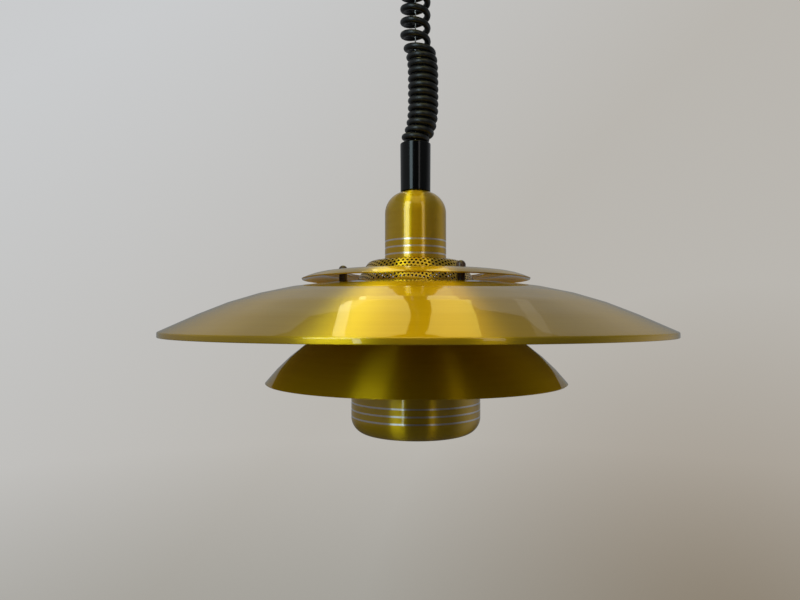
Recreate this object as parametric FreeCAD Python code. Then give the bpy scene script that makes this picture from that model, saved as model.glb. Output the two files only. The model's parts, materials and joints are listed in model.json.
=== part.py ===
"""Rise and fall pendant: a ceiling reel, a curly cord and a lamp of spun aluminium tiers.

Millimetres, +Z up. The origin is on the ceiling, on the wire's line, and the lamp hangs below it.
Heights of the lamp's pieces count from the bottom edge of the main shade's rim.
"""
import FreeCAD
import Part
import math
import os

# ---- ceiling canopy and reel ---------------------------------------------------------------------
CANOPY_RADIUS = 62.0
CANOPY_HEIGHT = 95.0
CANOPY_WALL = 2.0
CANOPY_ROUND = 12.0
CEILING_GAP = 0.5
BRACKET_THICK = 3.0
BRACKET_HALF_WIDTH = 16.0
BRACKET_CLEARANCE = 0.4
EAR_THICK = 2.0
EAR_HALF_WIDTH = 8.0
EAR_DROP = 18.0
CEILING_HOLE_RADIUS = 2.75
CEILING_HOLE_SPACING = 92.0
COVER_SCREW_DROP = 11.0
COVER_SCREW_LENGTH = 9.0
COVER_SCREW_HEAD = 2.5
TENSION_HOLE_RADIUS = 5.0
FRAME_THICK = 2.0
FRAME_HALF_WIDTH = 16.0
FRAME_FRONT = -6.0
FRAME_BACK = 50.0
FRAME_DEPTH = 81.0
FRAME_SCREW_Y = (8.0, 36.0)
FRAME_SCREW_HEAD = 2.2
SCREW_END_GAP = 0.5
WIRE_RADIUS = 0.7
WIRE_CLEARANCE = 0.3
DRUM_WIRE_RADIUS = 22.0
DRUM_AXIS_Z = -48.0
DRUM_HALF_WIDTH = 10.0
DRUM_FLANGE = 2.0
DRUM_FLANGE_RADIUS = 27.0
DRUM_RIM_WALL = 2.0
DRUM_HUB_RADIUS = 6.0
DRUM_HUB_LENGTH = 2.2
AXLE_RADIUS = 3.0
AXLE_OVERHANG = 3.5
AXLE_RING_THICK = 1.2
RUNNING_FIT = 0.05
DRUM_COVER_THICK = 1.5
DRUM_SCREW_CIRCLE = 24.2
DRUM_SCREW_RADIUS = 1.2
DRUM_SCREW_HEAD_RADIUS = 2.3
DRUM_SCREW_HEAD = 1.2
SPRING_STRIP = 0.5
SPRING_HALF_TURNS = 18
SPRING_GAP = 0.3
BRAKE_PAD_HEIGHT = 4.0
BRAKE_PAD_LENGTH = 16.0
BRAKE_GAP = 0.3
BRAKE_SIDE_GAP = 0.3
BRAKE_WRAP = 1.0
TENSION_HEAD_RADIUS = 4.0
TENSION_HEAD_THICK = 3.0
TENSION_REACH = 6.0
TENSION_SLOT = 1.0
TENSION_SLOT_DEPTH = 1.2
TERMINAL_SIZE = (14.0, 20.0, 14.0)
TERMINAL_X = -27.0
TERMINAL_Y = -6.0
TERMINAL_WAY_RADIUS = 1.7
TERMINAL_SCREW_INSET = 1.0
BUSH_RADIUS = 4.0
BUSH_FLANGE_RADIUS = 6.0
BUSH_FLANGE_THICK = 1.5
BUSH_BORE = 1.4
BUSH_RISE = 2.0
GRIP_FLANGE_RADIUS = 6.5
GRIP_BODY_RADIUS = 5.0
GRIP_FLANGE_THICK = 2.0
GRIP_RISE = 8.0
LEAD_RADIUS = 2.2
LEAD_DEPTH = 3.0
LEAD_RISE = 24.0
LEAD_STEP = 15.0

# ---- curly cord ----------------------------------------------------------------------------------
CORD_SPAN = 190.5
CORD_DIAMETER = 6.4
CURL_RADIUS = 12.3
CLOSED_PITCH = 7.4
CLOSED_TURNS = 12.0
OPEN_TURNS = 6.0
CURL_END_ANGLE = 300.0
CURL_END_RISE = 4.1
CORD_BOW = 7.8
BOW_SPAN = 100.0
TOP_BEND = 8.0
TOP_STRAIGHT = 8.0
TAIL_RADIUS = 6.5
TAIL_BEND = 6.4
TAIL_DROP = 2.1
LEAST_CORD_GAP = 0.4

# ---- grip tube, cap and what hangs the lamp ------------------------------------------------------
TUBE_LENGTH = 48.5
TUBE_TOP_RADIUS = 15.25
TUBE_BOTTOM_RADIUS = 14.9
TUBE_BORE = 13.0
TUBE_FLOOR = 3.0
TUBE_ROUND = 2.0
CAP_RADIUS = 30.5
CAP_HEIGHT = 68.4
CAP_ROUND = 22.0
CAP_WALL = 1.2
NIPPLE_RADIUS = 5.0
NIPPLE_BORE = 3.8
NIPPLE_FIT = 0.1
NIPPLE_BELOW_CAP = 14.0
NIPPLE_NUT_ACROSS = 14.0
NIPPLE_NUT_THICK = 3.5
NIPPLE_ABOVE_NUT = 1.5
STIRRUP_THICK = 2.0
STIRRUP_HALF_LENGTH = 10.0
STIRRUP_HALF_WIDTH = 5.0
STIRRUP_HEIGHT = 26.0
FERRULE_RADIUS = 2.2
FERRULE_LENGTH = 8.0
WIRE_HOLE_CLEARANCE = 0.3
LOWER_GRIP_HEIGHT = 8.5
LOWER_GRIP_CLEARANCE = 0.2
CORE_RADIUS = 1.1
CORE_GAP = 0.3
CORE_SPREAD = 2.0
CORE_DROP = 11.0

# ---- turned lines --------------------------------------------------------------------------------
LINE_WIDTH = 1.6
LINE_DEPTH = 0.25
LINE_PITCH = 6.75
CAP_LINE_RISE = 4.6
CUP_LINE_RISE = 17.2

# ---- vent cage, top ring and shades --------------------------------------------------------------
SHEET = 1.2
CAGE_WALL = 0.8
CAGE_TOP = 74.6
CAGE_SHOULDER = (46.5, 72.7)
CAGE_SHOULDER_ROUND = 9.0
CAGE_TOP_RADIUS = 33.0
CAGE_BASE_RADIUS = 59.8
CAGE_NECK = 0.6
CAGE_FLANGE_RADIUS = 80.0
CAGE_FLANGE_CLEARANCE = 0.05
CAGE_HOLE_CLEARANCE = 0.5
MAIN_RADIUS = 240.0
MAIN_LIP = 4.7
MAIN_ANGLE = 25.0
MAIN_CROWN = 328.0
MAIN_FLAT_RADIUS = 68.3
LIP_ROUND = 1.6
RING_RADIUS = 112.2
RING_HOLE_RADIUS = 64.5
RING_RISE = 10.93
RING_CROWN = 63.0
RING_ANGLE = 26.4
LOWER_RADIUS = 146.0
LOWER_DROP = 44.8
LOWER_CROWN = 180.0
LOWER_TOP_ANGLE = 25.0
LOWER_RIM_ANGLE = 52.0
LOWER_HOLE_RADIUS = 60.0
CUP_RADIUS = 63.5
CUP_BOTTOM = -95.5
CUP_HEIGHT = 48.5
CUP_ROUND = 16.0
CUP_MOUTH_RADIUS = 45.0
CUP_WALL = 1.2

# ---- studs, pegs and straps ----------------------------------------------------------------------
PEG_CIRCLE = 72.0
PEG_COUNT = 3
PEG_START = -57.0
PEG_RADIUS = 4.0
SPACER_CLEARANCE = 0.15
STUD_RADIUS = 2.0
STUD_FIT = 0.1
NUT_ACROSS = 7.0
NUT_THICK = 3.2
STUD_END = 1.5
KNOB_RADIUS = 4.8
KNOB_HEIGHT = 7.2
KNOB_THREAD = 5.0
STRAP_THICK = 1.2
STRAP_ANGLE = 11.0
STRAP_TAB_RADIUS = 78.0
STRAP_OVERLAP = 9.0
STRAP_CLEARANCE = 0.05
RIVET_RADIUS = 1.6
RIVET_HEAD_RADIUS = 2.8
RIVET_HEAD = 1.2
RIVET_DROP = 4.0
RIVET_SEAT = 0.1

# ---- lampholder ----------------------------------------------------------------------------------
HOLDER_RADIUS = 19.8
HOLDER_WALL = 2.0
HOLDER_MOUTH = 61.0
HOLDER_SPLIT = 106.0
HOLDER_TOP = 136.0
HOLDER_ROUND = 8.0
COLLAR_RADIUS = 24.5
COLLAR_THICK = 2.5
SHADE_RING_RADIUS = 26.0
SHADE_RING_HEIGHT = 5.0
SHADE_RING_FIT = 0.15
SHADE_RING_NOTCHES = 12
SHADE_RING_NOTCH = 2.0
SCREW_SHELL_BORE = 13.3
SCREW_SHELL_WALL = 0.5
SCREW_SHELL_LENGTH = 26.0
SCREW_SHELL_INSET = 3.0
HOLDER_BORE_FIT = 0.1
BOSS_WALL = 3.0
SHELL_LUG_WIDTH = 6.0
SHELL_LUG_STEP = 0.2
BASE_RADIUS = 17.0
BASE_HEIGHT = 11.0
BASE_DROP = 1.0
CONTACT_WIDTH = 5.0
CONTACT_LENGTH = 16.0
CONTACT_THICK = 0.8
CONTACT_BUMP = 1.6
CONTACT_BUMP_RADII = (1.4, 2.2)
HOLDER_SCREW_X = 10.0
HOLDER_SCREW_HEAD = 0.8
HOLDER_SCREW_RADIUS = 1.4
HOLDER_SCREW_HEAD_RADIUS = 2.6
HOLDER_SCREW_FIT = 0.1

CUT = 5.0
SEAM = 0.01
LINE_COUNT = 3
RIM_Z = -(CANOPY_HEIGHT + CORD_SPAN + TUBE_LENGTH + CAP_HEIGHT + CAGE_TOP)


# ---- helpers -------------------------------------------------------------------------------------
def vec(x, y, z):
    return FreeCAD.Vector(x, y, z)


def outward(degrees):
    """The level direction away from the axis at an angle."""
    return vec(math.cos(math.radians(degrees)), math.sin(math.radians(degrees)), 0)


def sideways(degrees):
    """The level direction round the axis, anticlockwise from above."""
    return outward(degrees + 90)


def block(x_range, y_range, z_range):
    """A box between the given limits."""
    size = [high - low for low, high in (x_range, y_range, z_range)]
    return Part.makeBox(*size, vec(x_range[0], y_range[0], z_range[0]))


def post(radius, low, high, x=0.0, y=0.0):
    """An upright cylinder."""
    return Part.makeCylinder(radius, high - low, vec(x, y, low))


def pipe(outer, inner, low, high, x=0.0, y=0.0):
    """An upright cylinder with a bore."""
    return post(outer, low, high, x, y).cut(post(inner, low - CUT, high + CUT, x, y))


def rod_x(radius, low, high, y, z):
    """A cylinder along X."""
    return Part.makeCylinder(radius, high - low, vec(low, y, z), vec(1, 0, 0))


def hexagon(across, thick, low, x=0.0, y=0.0):
    """A hexagonal prism, across its flats."""
    corner = across / math.sqrt(3.0)
    points = [
        vec(x + corner * math.cos(math.radians(60 * k)), y + corner * math.sin(math.radians(60 * k)), low)
        for k in range(7)
    ]
    return Part.Face(Part.makePolygon(points)).extrude(vec(0, 0, thick))


def peg_places():
    """The points of the three studs round the lamp."""
    angles = [math.radians(PEG_START + 360.0 * k / PEG_COUNT) for k in range(PEG_COUNT)]
    return [(PEG_CIRCLE * math.cos(a), PEG_CIRCLE * math.sin(a)) for a in angles]


def at_pegs(make):
    """One solid made at each stud."""
    return Part.makeCompound([make(x, y) for x, y in peg_places()])


def drilled(shape, radius, low, high):
    """The shape with a hole at each stud."""
    for x, y in peg_places():
        shape = shape.cut(post(radius, low, high, x, y))
    return shape


def turned(start, steps):
    """A solid of revolution. A step is the next corner (r, z), or (a point on the arc, the arc's end)."""
    edges = []
    here = start
    for step in list(steps) + [start]:
        via = step[0] if isinstance(step[0], tuple) else None
        there = step[1] if via else step
        ends = [vec(p[0], 0, p[1]) for p in (here, there)]
        if via:
            edges.append(Part.Arc(ends[0], vec(via[0], 0, via[1]), ends[1]).toShape())
        elif ends[0].distanceToPoint(ends[1]) > 1e-7:
            edges.append(Part.LineSegment(*ends).toShape())
        here = there
    return Part.Face(Part.Wire(edges)).revolve(vec(0, 0, 0), vec(0, 0, 1), 360)


def unit(a, b):
    length = math.hypot(b[0] - a[0], b[1] - a[1])
    return (b[0] - a[0]) / length, (b[1] - a[1]) / length


def shifted(points, distance):
    """The polyline moved sideways, to the left of its direction, with mitred corners."""
    moved = []
    for k, point in enumerate(points):
        before = unit(points[k - 1], point) if k else None
        after = unit(point, points[k + 1]) if k + 1 < len(points) else None
        one = before or after
        two = after or before
        cosine = one[0] * two[0] + one[1] * two[1]
        normal = (-(one[1] + two[1]) / (1 + cosine), (one[0] + two[0]) / (1 + cosine))
        moved.append((point[0] + normal[0] * distance, point[1] + normal[1] * distance))
    return moved


def rounded(points, rounds):
    """Steps for turned(): the polyline's corners, each rounded by its own radius."""
    steps = []
    for k in range(1, len(points) - 1):
        radius = rounds[k - 1]
        one = unit(points[k], points[k - 1])
        two = unit(points[k], points[k + 1])
        half = math.acos(max(-1.0, min(1.0, one[0] * two[0] + one[1] * two[1]))) / 2
        if radius <= 0:
            steps.append(points[k])
            continue
        reach = radius / math.tan(half)
        middle = unit((0, 0), (one[0] + two[0], one[1] + two[1]))
        depth = radius / math.sin(half) - radius
        corner = points[k]
        steps.append((corner[0] + one[0] * reach, corner[1] + one[1] * reach))
        steps.append((
            (corner[0] + middle[0] * depth, corner[1] + middle[1] * depth),
            (corner[0] + two[0] * reach, corner[1] + two[1] * reach),
        ))
    return steps + [points[-1]]


def spun(points, rounds, wall):
    """A spun shell: the outer polyline with rounded corners, and its wall on the right-hand side."""
    inner = shifted(points, -wall)
    inner_rounds = []
    for k in range(1, len(points) - 1):
        one = unit(points[k - 1], points[k])
        two = unit(points[k], points[k + 1])
        turns_right = one[0] * two[1] - one[1] * two[0] < 0
        grown = rounds[k - 1] - wall if turns_right else rounds[k - 1] + wall
        inner_rounds.append(max(0.0, grown) if rounds[k - 1] else 0.0)
    steps = rounded(points, rounds) + [inner[-1]]
    steps += rounded(inner[::-1], inner_rounds[::-1])
    return turned(points[0], steps)


def biarc(start, start_way, end, end_way):
    """Two arcs, tangent to each other, from one point and direction to another."""
    span = end - start
    ways = start_way + end_way
    a = 2.0 * (1.0 - start_way.dot(end_way))
    b = 2.0 * span.dot(ways)
    c = -span.dot(span)
    reach = (-b + math.sqrt(b * b - 4 * a * c)) / (2 * a)
    joint = (start + start_way * reach + end - end_way * reach) * 0.5
    return [bend(start, start_way, joint), bend(end, end_way * -1, joint)]


def bend(start, way, end):
    """The arc that leaves start along way and ends at end, as (start, middle, end)."""
    chord = end - start
    side = chord - way * chord.dot(way)
    side.normalize()
    radius = chord.dot(chord) / (2 * chord.dot(side))
    centre = start + side * radius
    middle = (start + end) * 0.5 - centre
    middle.normalize()
    return start, centre + middle * radius, end


def tube_along(edges, radius, way):
    """A round tube along a tangent chain of edges, starting in the direction way."""
    path = Part.Wire(edges)
    start = edges[0].valueAt(edges[0].FirstParameter)
    ring = Part.Wire(Part.makeCircle(radius, start, way))
    shell = Part.BRepOffsetAPI.MakePipeShell(path)
    shell.add(ring)
    shell.build()
    shell.makeSolid()
    return shell.shape()


def save(name, shape):
    shape.exportStep("parts/" + name + ".step")


def in_lamp(shape):
    """The lamp's pieces are drawn from the main shade's rim, and moved down to where it hangs."""
    return shape.translated(vec(0, 0, RIM_Z))


def save_lamp(name, shape):
    save(name, in_lamp(shape))


def place(radius, degrees, forward):
    """A point at a radius and angle, then so far round the axis, as (x, y)."""
    point = outward(degrees) * radius + sideways(degrees) * forward
    return point.x, point.y


# ---- the ceiling canopy --------------------------------------------------------------------------
CURL_TURNS = OPEN_TURNS + CLOSED_TURNS
CURL_START_ANGLE = CURL_END_ANGLE - 360 * CURL_TURNS
GRIP_PLACE = place(CURL_RADIUS, CURL_START_ANGLE, -TOP_BEND)
TAIL_PLACE = place(TAIL_RADIUS, CURL_END_ANGLE + 180, TAIL_BEND)
CANOPY_INNER = CANOPY_RADIUS - CANOPY_WALL
FRAME_TOP = -BRACKET_THICK
FRAME_BOTTOM = -FRAME_DEPTH
DRUM_Y = DRUM_WIRE_RADIUS
CORE_OUTER = DRUM_WIRE_RADIUS - WIRE_RADIUS - WIRE_CLEARANCE
CAVITY_RADIUS = CORE_OUTER - DRUM_RIM_WALL
CHEEK_INNER = FRAME_HALF_WIDTH - FRAME_THICK


def ceiling_bracket():
    """Strap under the ceiling, with a tongue over the reel and an ear at each end for the cover's screws."""
    reach = CANOPY_INNER - BRACKET_CLEARANCE
    strap = block((-reach, reach), (-BRACKET_HALF_WIDTH, BRACKET_HALF_WIDTH), (-BRACKET_THICK, 0))
    ears = pipe(reach, reach - EAR_THICK, -EAR_DROP, 0).common(
        block((-reach, reach), (-EAR_HALF_WIDTH, EAR_HALF_WIDTH), (-EAR_DROP, 0)))
    tongue = block((-FRAME_HALF_WIDTH, FRAME_HALF_WIDTH), (FRAME_FRONT, FRAME_BACK), (-BRACKET_THICK, 0))
    bracket = strap.common(post(reach, -BRACKET_THICK, 0)).fuse([ears, tongue])
    for side in (-1, 1):
        hole_x = side * CEILING_HOLE_SPACING / 2
        bracket = bracket.cut(post(CEILING_HOLE_RADIUS, -BRACKET_THICK - CUT, CUT, hole_x))
    screw_way = rod_x(STUD_RADIUS + RUNNING_FIT, -CANOPY_RADIUS, CANOPY_RADIUS, 0, -COVER_SCREW_DROP)
    bracket = bracket.cut(screw_way)
    for y in FRAME_SCREW_Y:
        bracket = bracket.cut(post(STUD_RADIUS + RUNNING_FIT, -BRACKET_THICK - CUT, CUT, 0, y))
    return bracket.removeSplitter()


def screw(thread, head, head_thick, length):
    """A pan head screw: the head below the origin, the shank up from it."""
    return post(head, -head_thick, 0).fuse(post(thread, 0, length)).removeSplitter()


def canopy_screws():
    """Two screws through the cover's wall into the bracket's ears."""
    blank = screw(STUD_RADIUS, 2 * STUD_RADIUS, COVER_SCREW_HEAD, COVER_SCREW_LENGTH)
    screws = []
    for side in (-1, 1):
        one = blank.copy()
        one.rotate(vec(0, 0, 0), vec(0, 1, 0), -90 * side)
        one.translate(vec(side * (CANOPY_RADIUS + RUNNING_FIT), 0, -COVER_SCREW_DROP))
        screws.append(one)
    return Part.makeCompound(screws)


def canopy_cover():
    """The shell that hides the reel, with its holes for the wire, the cord, the screws and the adjuster."""
    top = -CEILING_GAP
    cover = spun([(CANOPY_RADIUS, top), (CANOPY_RADIUS, -CANOPY_HEIGHT), (0.0, -CANOPY_HEIGHT)],
                 [CANOPY_ROUND], CANOPY_WALL)
    low = -CANOPY_HEIGHT - CUT
    high = -CANOPY_HEIGHT + CANOPY_WALL + CUT
    cover = cover.cut(post(BUSH_RADIUS + RUNNING_FIT, low, high))
    cover = cover.cut(post(GRIP_BODY_RADIUS + RUNNING_FIT, low, high, *GRIP_PLACE))
    cover = cover.cut(post(TENSION_HOLE_RADIUS, low, high, 0, DRUM_Y))
    reach = CANOPY_RADIUS + CUT
    return cover.cut(rod_x(STUD_RADIUS + STUD_FIT, -reach, reach, 0, -COVER_SCREW_DROP))


def reel_frame():
    """Folded steel box: two cheeks for the axle, a top plate, and a bottom plate for the tension screw."""
    wide = (-FRAME_HALF_WIDTH, FRAME_HALF_WIDTH)
    long = (FRAME_FRONT, FRAME_BACK)
    cheeks = [
        block(sorted((side * CHEEK_INNER, side * FRAME_HALF_WIDTH)), long, (FRAME_BOTTOM, FRAME_TOP))
        for side in (-1, 1)
    ]
    top = block(wide, long, (FRAME_TOP - FRAME_THICK, FRAME_TOP))
    under = (DRUM_Y - BRAKE_PAD_LENGTH / 2, FRAME_BACK)
    bottom = block(wide, under, (FRAME_BOTTOM - FRAME_THICK, FRAME_BOTTOM))
    frame = top.fuse(cheeks + [bottom])
    axle_hole = rod_x(AXLE_RADIUS + RUNNING_FIT, -CANOPY_RADIUS, CANOPY_RADIUS, DRUM_Y, DRUM_AXIS_Z)
    screw_hole = post(STUD_RADIUS + RUNNING_FIT, FRAME_BOTTOM - CUT, FRAME_BOTTOM + CUT, 0, DRUM_Y)
    frame = frame.cut([axle_hole, screw_hole])
    for y in FRAME_SCREW_Y:
        frame = frame.cut(post(STUD_RADIUS + STUD_FIT, FRAME_TOP - CUT, CUT, 0, y))
    return frame.removeSplitter()


def frame_screws():
    """Two screws that hold the reel frame up to the bracket."""
    shank = BRACKET_THICK + FRAME_THICK - SCREW_END_GAP
    blank = screw(STUD_RADIUS, 2 * STUD_RADIUS, FRAME_SCREW_HEAD, shank)
    return Part.makeCompound([blank.translated(vec(0, y, FRAME_TOP - FRAME_THICK)) for y in FRAME_SCREW_Y])


def axle_end():
    return FRAME_HALF_WIDTH + AXLE_OVERHANG


def reel_axle():
    """The pin that the drum turns on."""
    return rod_x(AXLE_RADIUS, -axle_end(), axle_end(), DRUM_Y, DRUM_AXIS_Z)


def axle_rings():
    """A retaining ring outside each cheek."""
    rings = []
    for side in (-1, 1):
        low, high = sorted((side * FRAME_HALF_WIDTH, side * (FRAME_HALF_WIDTH + AXLE_RING_THICK)))
        ring = rod_x(2 * AXLE_RADIUS, low, high, DRUM_Y, DRUM_AXIS_Z)
        rings.append(ring.cut(rod_x(AXLE_RADIUS, low - CUT, high + CUT, DRUM_Y, DRUM_AXIS_Z)))
    return Part.makeCompound(rings)


def on_reel(shape):
    """From an upright axis at the origin to the reel's axis, with up turned to +X."""
    shape = shape.copy()
    shape.rotate(vec(0, 0, 0), vec(0, 1, 0), 90)
    shape.translate(vec(0, DRUM_Y, DRUM_AXIS_Z))
    return shape


def drum_screw_places():
    angles = [math.radians(90 + 120 * k) for k in range(3)]
    return [(DRUM_SCREW_CIRCLE * math.cos(a), DRUM_SCREW_CIRCLE * math.sin(a)) for a in angles]


def reel_drum():
    """Flanged drum: the wire lies on its core, and the mainspring in its open side."""
    bore = AXLE_RADIUS + RUNNING_FIT
    left = -DRUM_HALF_WIDTH
    web = left + DRUM_FLANGE
    right = DRUM_HALF_WIDTH
    drum = turned((bore, left), [
        (DRUM_FLANGE_RADIUS, left), (DRUM_FLANGE_RADIUS, web), (CORE_OUTER, web),
        (CORE_OUTER, right - DRUM_FLANGE), (DRUM_FLANGE_RADIUS, right - DRUM_FLANGE),
        (DRUM_FLANGE_RADIUS, right), (CAVITY_RADIUS, right), (CAVITY_RADIUS, web),
        (DRUM_HUB_RADIUS, web), (DRUM_HUB_RADIUS, web + DRUM_HUB_LENGTH), (bore, web + DRUM_HUB_LENGTH),
    ])
    for x, y in drum_screw_places():
        drum = drum.cut(post(DRUM_SCREW_RADIUS + RUNNING_FIT, right - DRUM_FLANGE - CUT, right + CUT, x, y))
    return on_reel(drum)


def drum_cover():
    """The disc that shuts the spring in."""
    low = DRUM_HALF_WIDTH
    high = low + DRUM_COVER_THICK
    cover = pipe(DRUM_FLANGE_RADIUS, AXLE_RADIUS + RUNNING_FIT, low, high)
    for x, y in drum_screw_places():
        cover = cover.cut(post(DRUM_SCREW_RADIUS + STUD_FIT, low - CUT, high + CUT, x, y))
    return on_reel(cover)


def drum_screws():
    """Three small screws through the cover into the drum's flange."""
    top = DRUM_HALF_WIDTH + DRUM_COVER_THICK
    shank = post(DRUM_SCREW_RADIUS, top - DRUM_COVER_THICK - DRUM_FLANGE, top)
    blank = post(DRUM_SCREW_HEAD_RADIUS, top, top + DRUM_SCREW_HEAD).fuse(shank)
    return Part.makeCompound([on_reel(blank.translated(vec(x, y, 0))) for x, y in drum_screw_places()])


def mainspring():
    """Spiral strip in half turns: each half turn's centre steps to and fro, so its radius grows steadily."""
    room = CAVITY_RADIUS - AXLE_RADIUS - 2 * SPRING_GAP - SPRING_STRIP
    step = room / SPRING_HALF_TURNS
    over = []
    back = []
    for k in range(SPRING_HALF_TURNS):
        side = 1 if k % 2 == 0 else -1
        centre = -side * step / 2
        radius = AXLE_RADIUS + SPRING_GAP + (k + 0.5) * step
        for edges, r in ((over, radius + SPRING_STRIP), (back, radius)):
            ends = [vec(centre + side * r, 0, 0), vec(centre - side * r, 0, 0)]
            edges.append(Part.Arc(ends[0], vec(centre, side * r, 0), ends[1]).toShape())
    first = [back[0].valueAt(back[0].FirstParameter), over[0].valueAt(over[0].FirstParameter)]
    last = [over[-1].valueAt(over[-1].LastParameter), back[-1].valueAt(back[-1].LastParameter)]
    edges = over + [Part.LineSegment(*last).toShape()] + back[::-1] + [Part.LineSegment(*first).toShape()]
    low = -DRUM_HALF_WIDTH + DRUM_FLANGE + SPRING_GAP + DRUM_HUB_LENGTH
    strip = Part.Face(Part.Wire(Part.sortEdges(edges)[0]))
    strip = strip.extrude(vec(0, 0, DRUM_HALF_WIDTH - SPRING_GAP - low))
    return on_reel(strip.translated(vec(0, 0, low)))


def wire_winding():
    """The wire's stored turns, one layer on the drum's core, up to where the wire leaves it."""
    low = -DRUM_HALF_WIDTH + DRUM_FLANGE
    return on_reel(pipe(CORE_OUTER + 2 * WIRE_RADIUS, CORE_OUTER, low, -WIRE_RADIUS - WIRE_CLEARANCE))


def brake_pad():
    """Friction pad under the drum's flanges, hollowed to their curve."""
    top = DRUM_AXIS_Z - DRUM_FLANGE_RADIUS
    half = CHEEK_INNER - BRAKE_SIDE_GAP
    along = (DRUM_Y - BRAKE_PAD_LENGTH / 2, DRUM_Y + BRAKE_PAD_LENGTH / 2)
    pad = block((-half, half), along, (top - BRAKE_PAD_HEIGHT, top + BRAKE_WRAP))
    return pad.cut(rod_x(DRUM_FLANGE_RADIUS + BRAKE_GAP, -CANOPY_RADIUS, CANOPY_RADIUS, DRUM_Y, DRUM_AXIS_Z))


def tension_screw():
    """The slotted screw that presses the pad against the drum."""
    tip = DRUM_AXIS_Z - DRUM_FLANGE_RADIUS - BRAKE_PAD_HEIGHT
    head_top = FRAME_BOTTOM - FRAME_THICK - TENSION_REACH
    low = head_top - TENSION_HEAD_THICK
    head = post(TENSION_HEAD_RADIUS, low, head_top, 0, DRUM_Y)
    shank = post(STUD_RADIUS, head_top, tip, 0, DRUM_Y)
    across = (DRUM_Y - 2 * TENSION_HEAD_RADIUS, DRUM_Y + 2 * TENSION_HEAD_RADIUS)
    slot = block((-TENSION_SLOT / 2, TENSION_SLOT / 2), across, (low - CUT, low + TENSION_SLOT_DEPTH))
    return head.fuse(shank).cut(slot).removeSplitter()


def terminal_block():
    """Two-way connector block under the bracket."""
    wide, long, high = TERMINAL_SIZE
    low = -BRACKET_THICK - high
    across = (TERMINAL_X - wide / 2, TERMINAL_X + wide / 2)
    along = (TERMINAL_Y - long / 2, TERMINAL_Y + long / 2)
    body = block(across, along, (low, -BRACKET_THICK))
    for y in terminal_ways():
        body = body.cut(rod_x(TERMINAL_WAY_RADIUS, TERMINAL_X - wide, TERMINAL_X + wide, y, low + high / 2))
        body = body.cut(post(TERMINAL_WAY_RADIUS, low - CUT, low + high / 2, TERMINAL_X, y))
    return body.cut(post(LEAD_RADIUS, low - CUT, low + LEAD_DEPTH, TERMINAL_X, TERMINAL_Y))


def terminal_ways():
    """Where the block's two ways lie."""
    return TERMINAL_Y - TERMINAL_SIZE[1] / 4, TERMINAL_Y + TERMINAL_SIZE[1] / 4


def terminal_screws():
    """The block's two clamp screws."""
    low = -BRACKET_THICK - TERMINAL_SIZE[2]
    radius = TERMINAL_WAY_RADIUS - STUD_FIT
    high = low + TERMINAL_SIZE[2] / 2 - SCREW_END_GAP
    return Part.makeCompound([
        post(radius, low + TERMINAL_SCREW_INSET, high, TERMINAL_X, y) for y in terminal_ways()])


def guide_bush():
    """Nylon bush in the cover's middle that the wire slides through."""
    flange = pipe(BUSH_FLANGE_RADIUS, BUSH_BORE, -CANOPY_HEIGHT - BUSH_FLANGE_THICK, -CANOPY_HEIGHT)
    body = pipe(BUSH_RADIUS, BUSH_BORE, -CANOPY_HEIGHT, -CANOPY_HEIGHT + CANOPY_WALL + BUSH_RISE)
    return flange.fuse(body).removeSplitter()


def upper_cord_grip():
    """Strain relief in the cover's bottom, where the curly cord goes in."""
    x, y = GRIP_PLACE
    flange = pipe(GRIP_FLANGE_RADIUS, LEAD_RADIUS, -CANOPY_HEIGHT - GRIP_FLANGE_THICK, -CANOPY_HEIGHT, x, y)
    body = pipe(GRIP_BODY_RADIUS, LEAD_RADIUS, -CANOPY_HEIGHT, -CANOPY_HEIGHT + GRIP_RISE, x, y)
    return flange.fuse(body).removeSplitter()


def routed(points, radius):
    """A tube along straight runs joined by tangent arcs."""
    edges = []
    here = points[0]
    for before, corner, after in zip(points, points[1:], points[2:]):
        one = before - corner
        two = after - corner
        shorter = min(one.Length, two.Length)
        one.normalize()
        two.normalize()
        half = math.acos(max(-1.0, min(1.0, one.dot(two)))) / 2
        reach = 0.45 * shorter
        middle = one + two
        middle.normalize()
        arc_radius = reach * math.tan(half)
        start = corner + one * reach
        end = corner + two * reach
        via = corner + middle * (arc_radius / math.sin(half) - arc_radius)
        edges.append(Part.LineSegment(here, start).toShape())
        edges.append(Part.Arc(start, via, end).toShape())
        here = end
    edges.append(Part.LineSegment(here, points[-1]).toShape())
    return tube_along(edges, radius, points[1] - points[0])


def supply_lead():
    """The cord's inner lead, from the grip up beside the reel to the terminal block."""
    x, y = GRIP_PLACE
    start = -CANOPY_HEIGHT - GRIP_FLANGE_THICK
    end = -BRACKET_THICK - TERMINAL_SIZE[2] + LEAD_DEPTH
    side = TERMINAL_X - x
    points = [vec(x, y, start), vec(x, y, start + LEAD_RISE),
              vec(x + side * 0.3, y, start + LEAD_RISE + LEAD_STEP),
              vec(TERMINAL_X - side * 0.23, TERMINAL_Y - 1.5, start + LEAD_RISE + 2 * LEAD_STEP),
              vec(TERMINAL_X, TERMINAL_Y, end - LEAD_STEP), vec(TERMINAL_X, TERMINAL_Y, end)]
    return routed(points, LEAD_RADIUS - RUNNING_FIT)


# ---- the curly cord and the wire -----------------------------------------------------------------
TUBE_TOP = CAGE_TOP + CAP_HEIGHT + TUBE_LENGTH
CURL_LOW = RIM_Z + TUBE_TOP + CURL_END_RISE
CURL_TOP = -CANOPY_HEIGHT - GRIP_FLANGE_THICK - TOP_STRAIGHT - TOP_BEND
LOWER_GRIP_TOP = CAGE_TOP + CAP_HEIGHT + TUBE_FLOOR + STIRRUP_HEIGHT + LOWER_GRIP_HEIGHT


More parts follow.
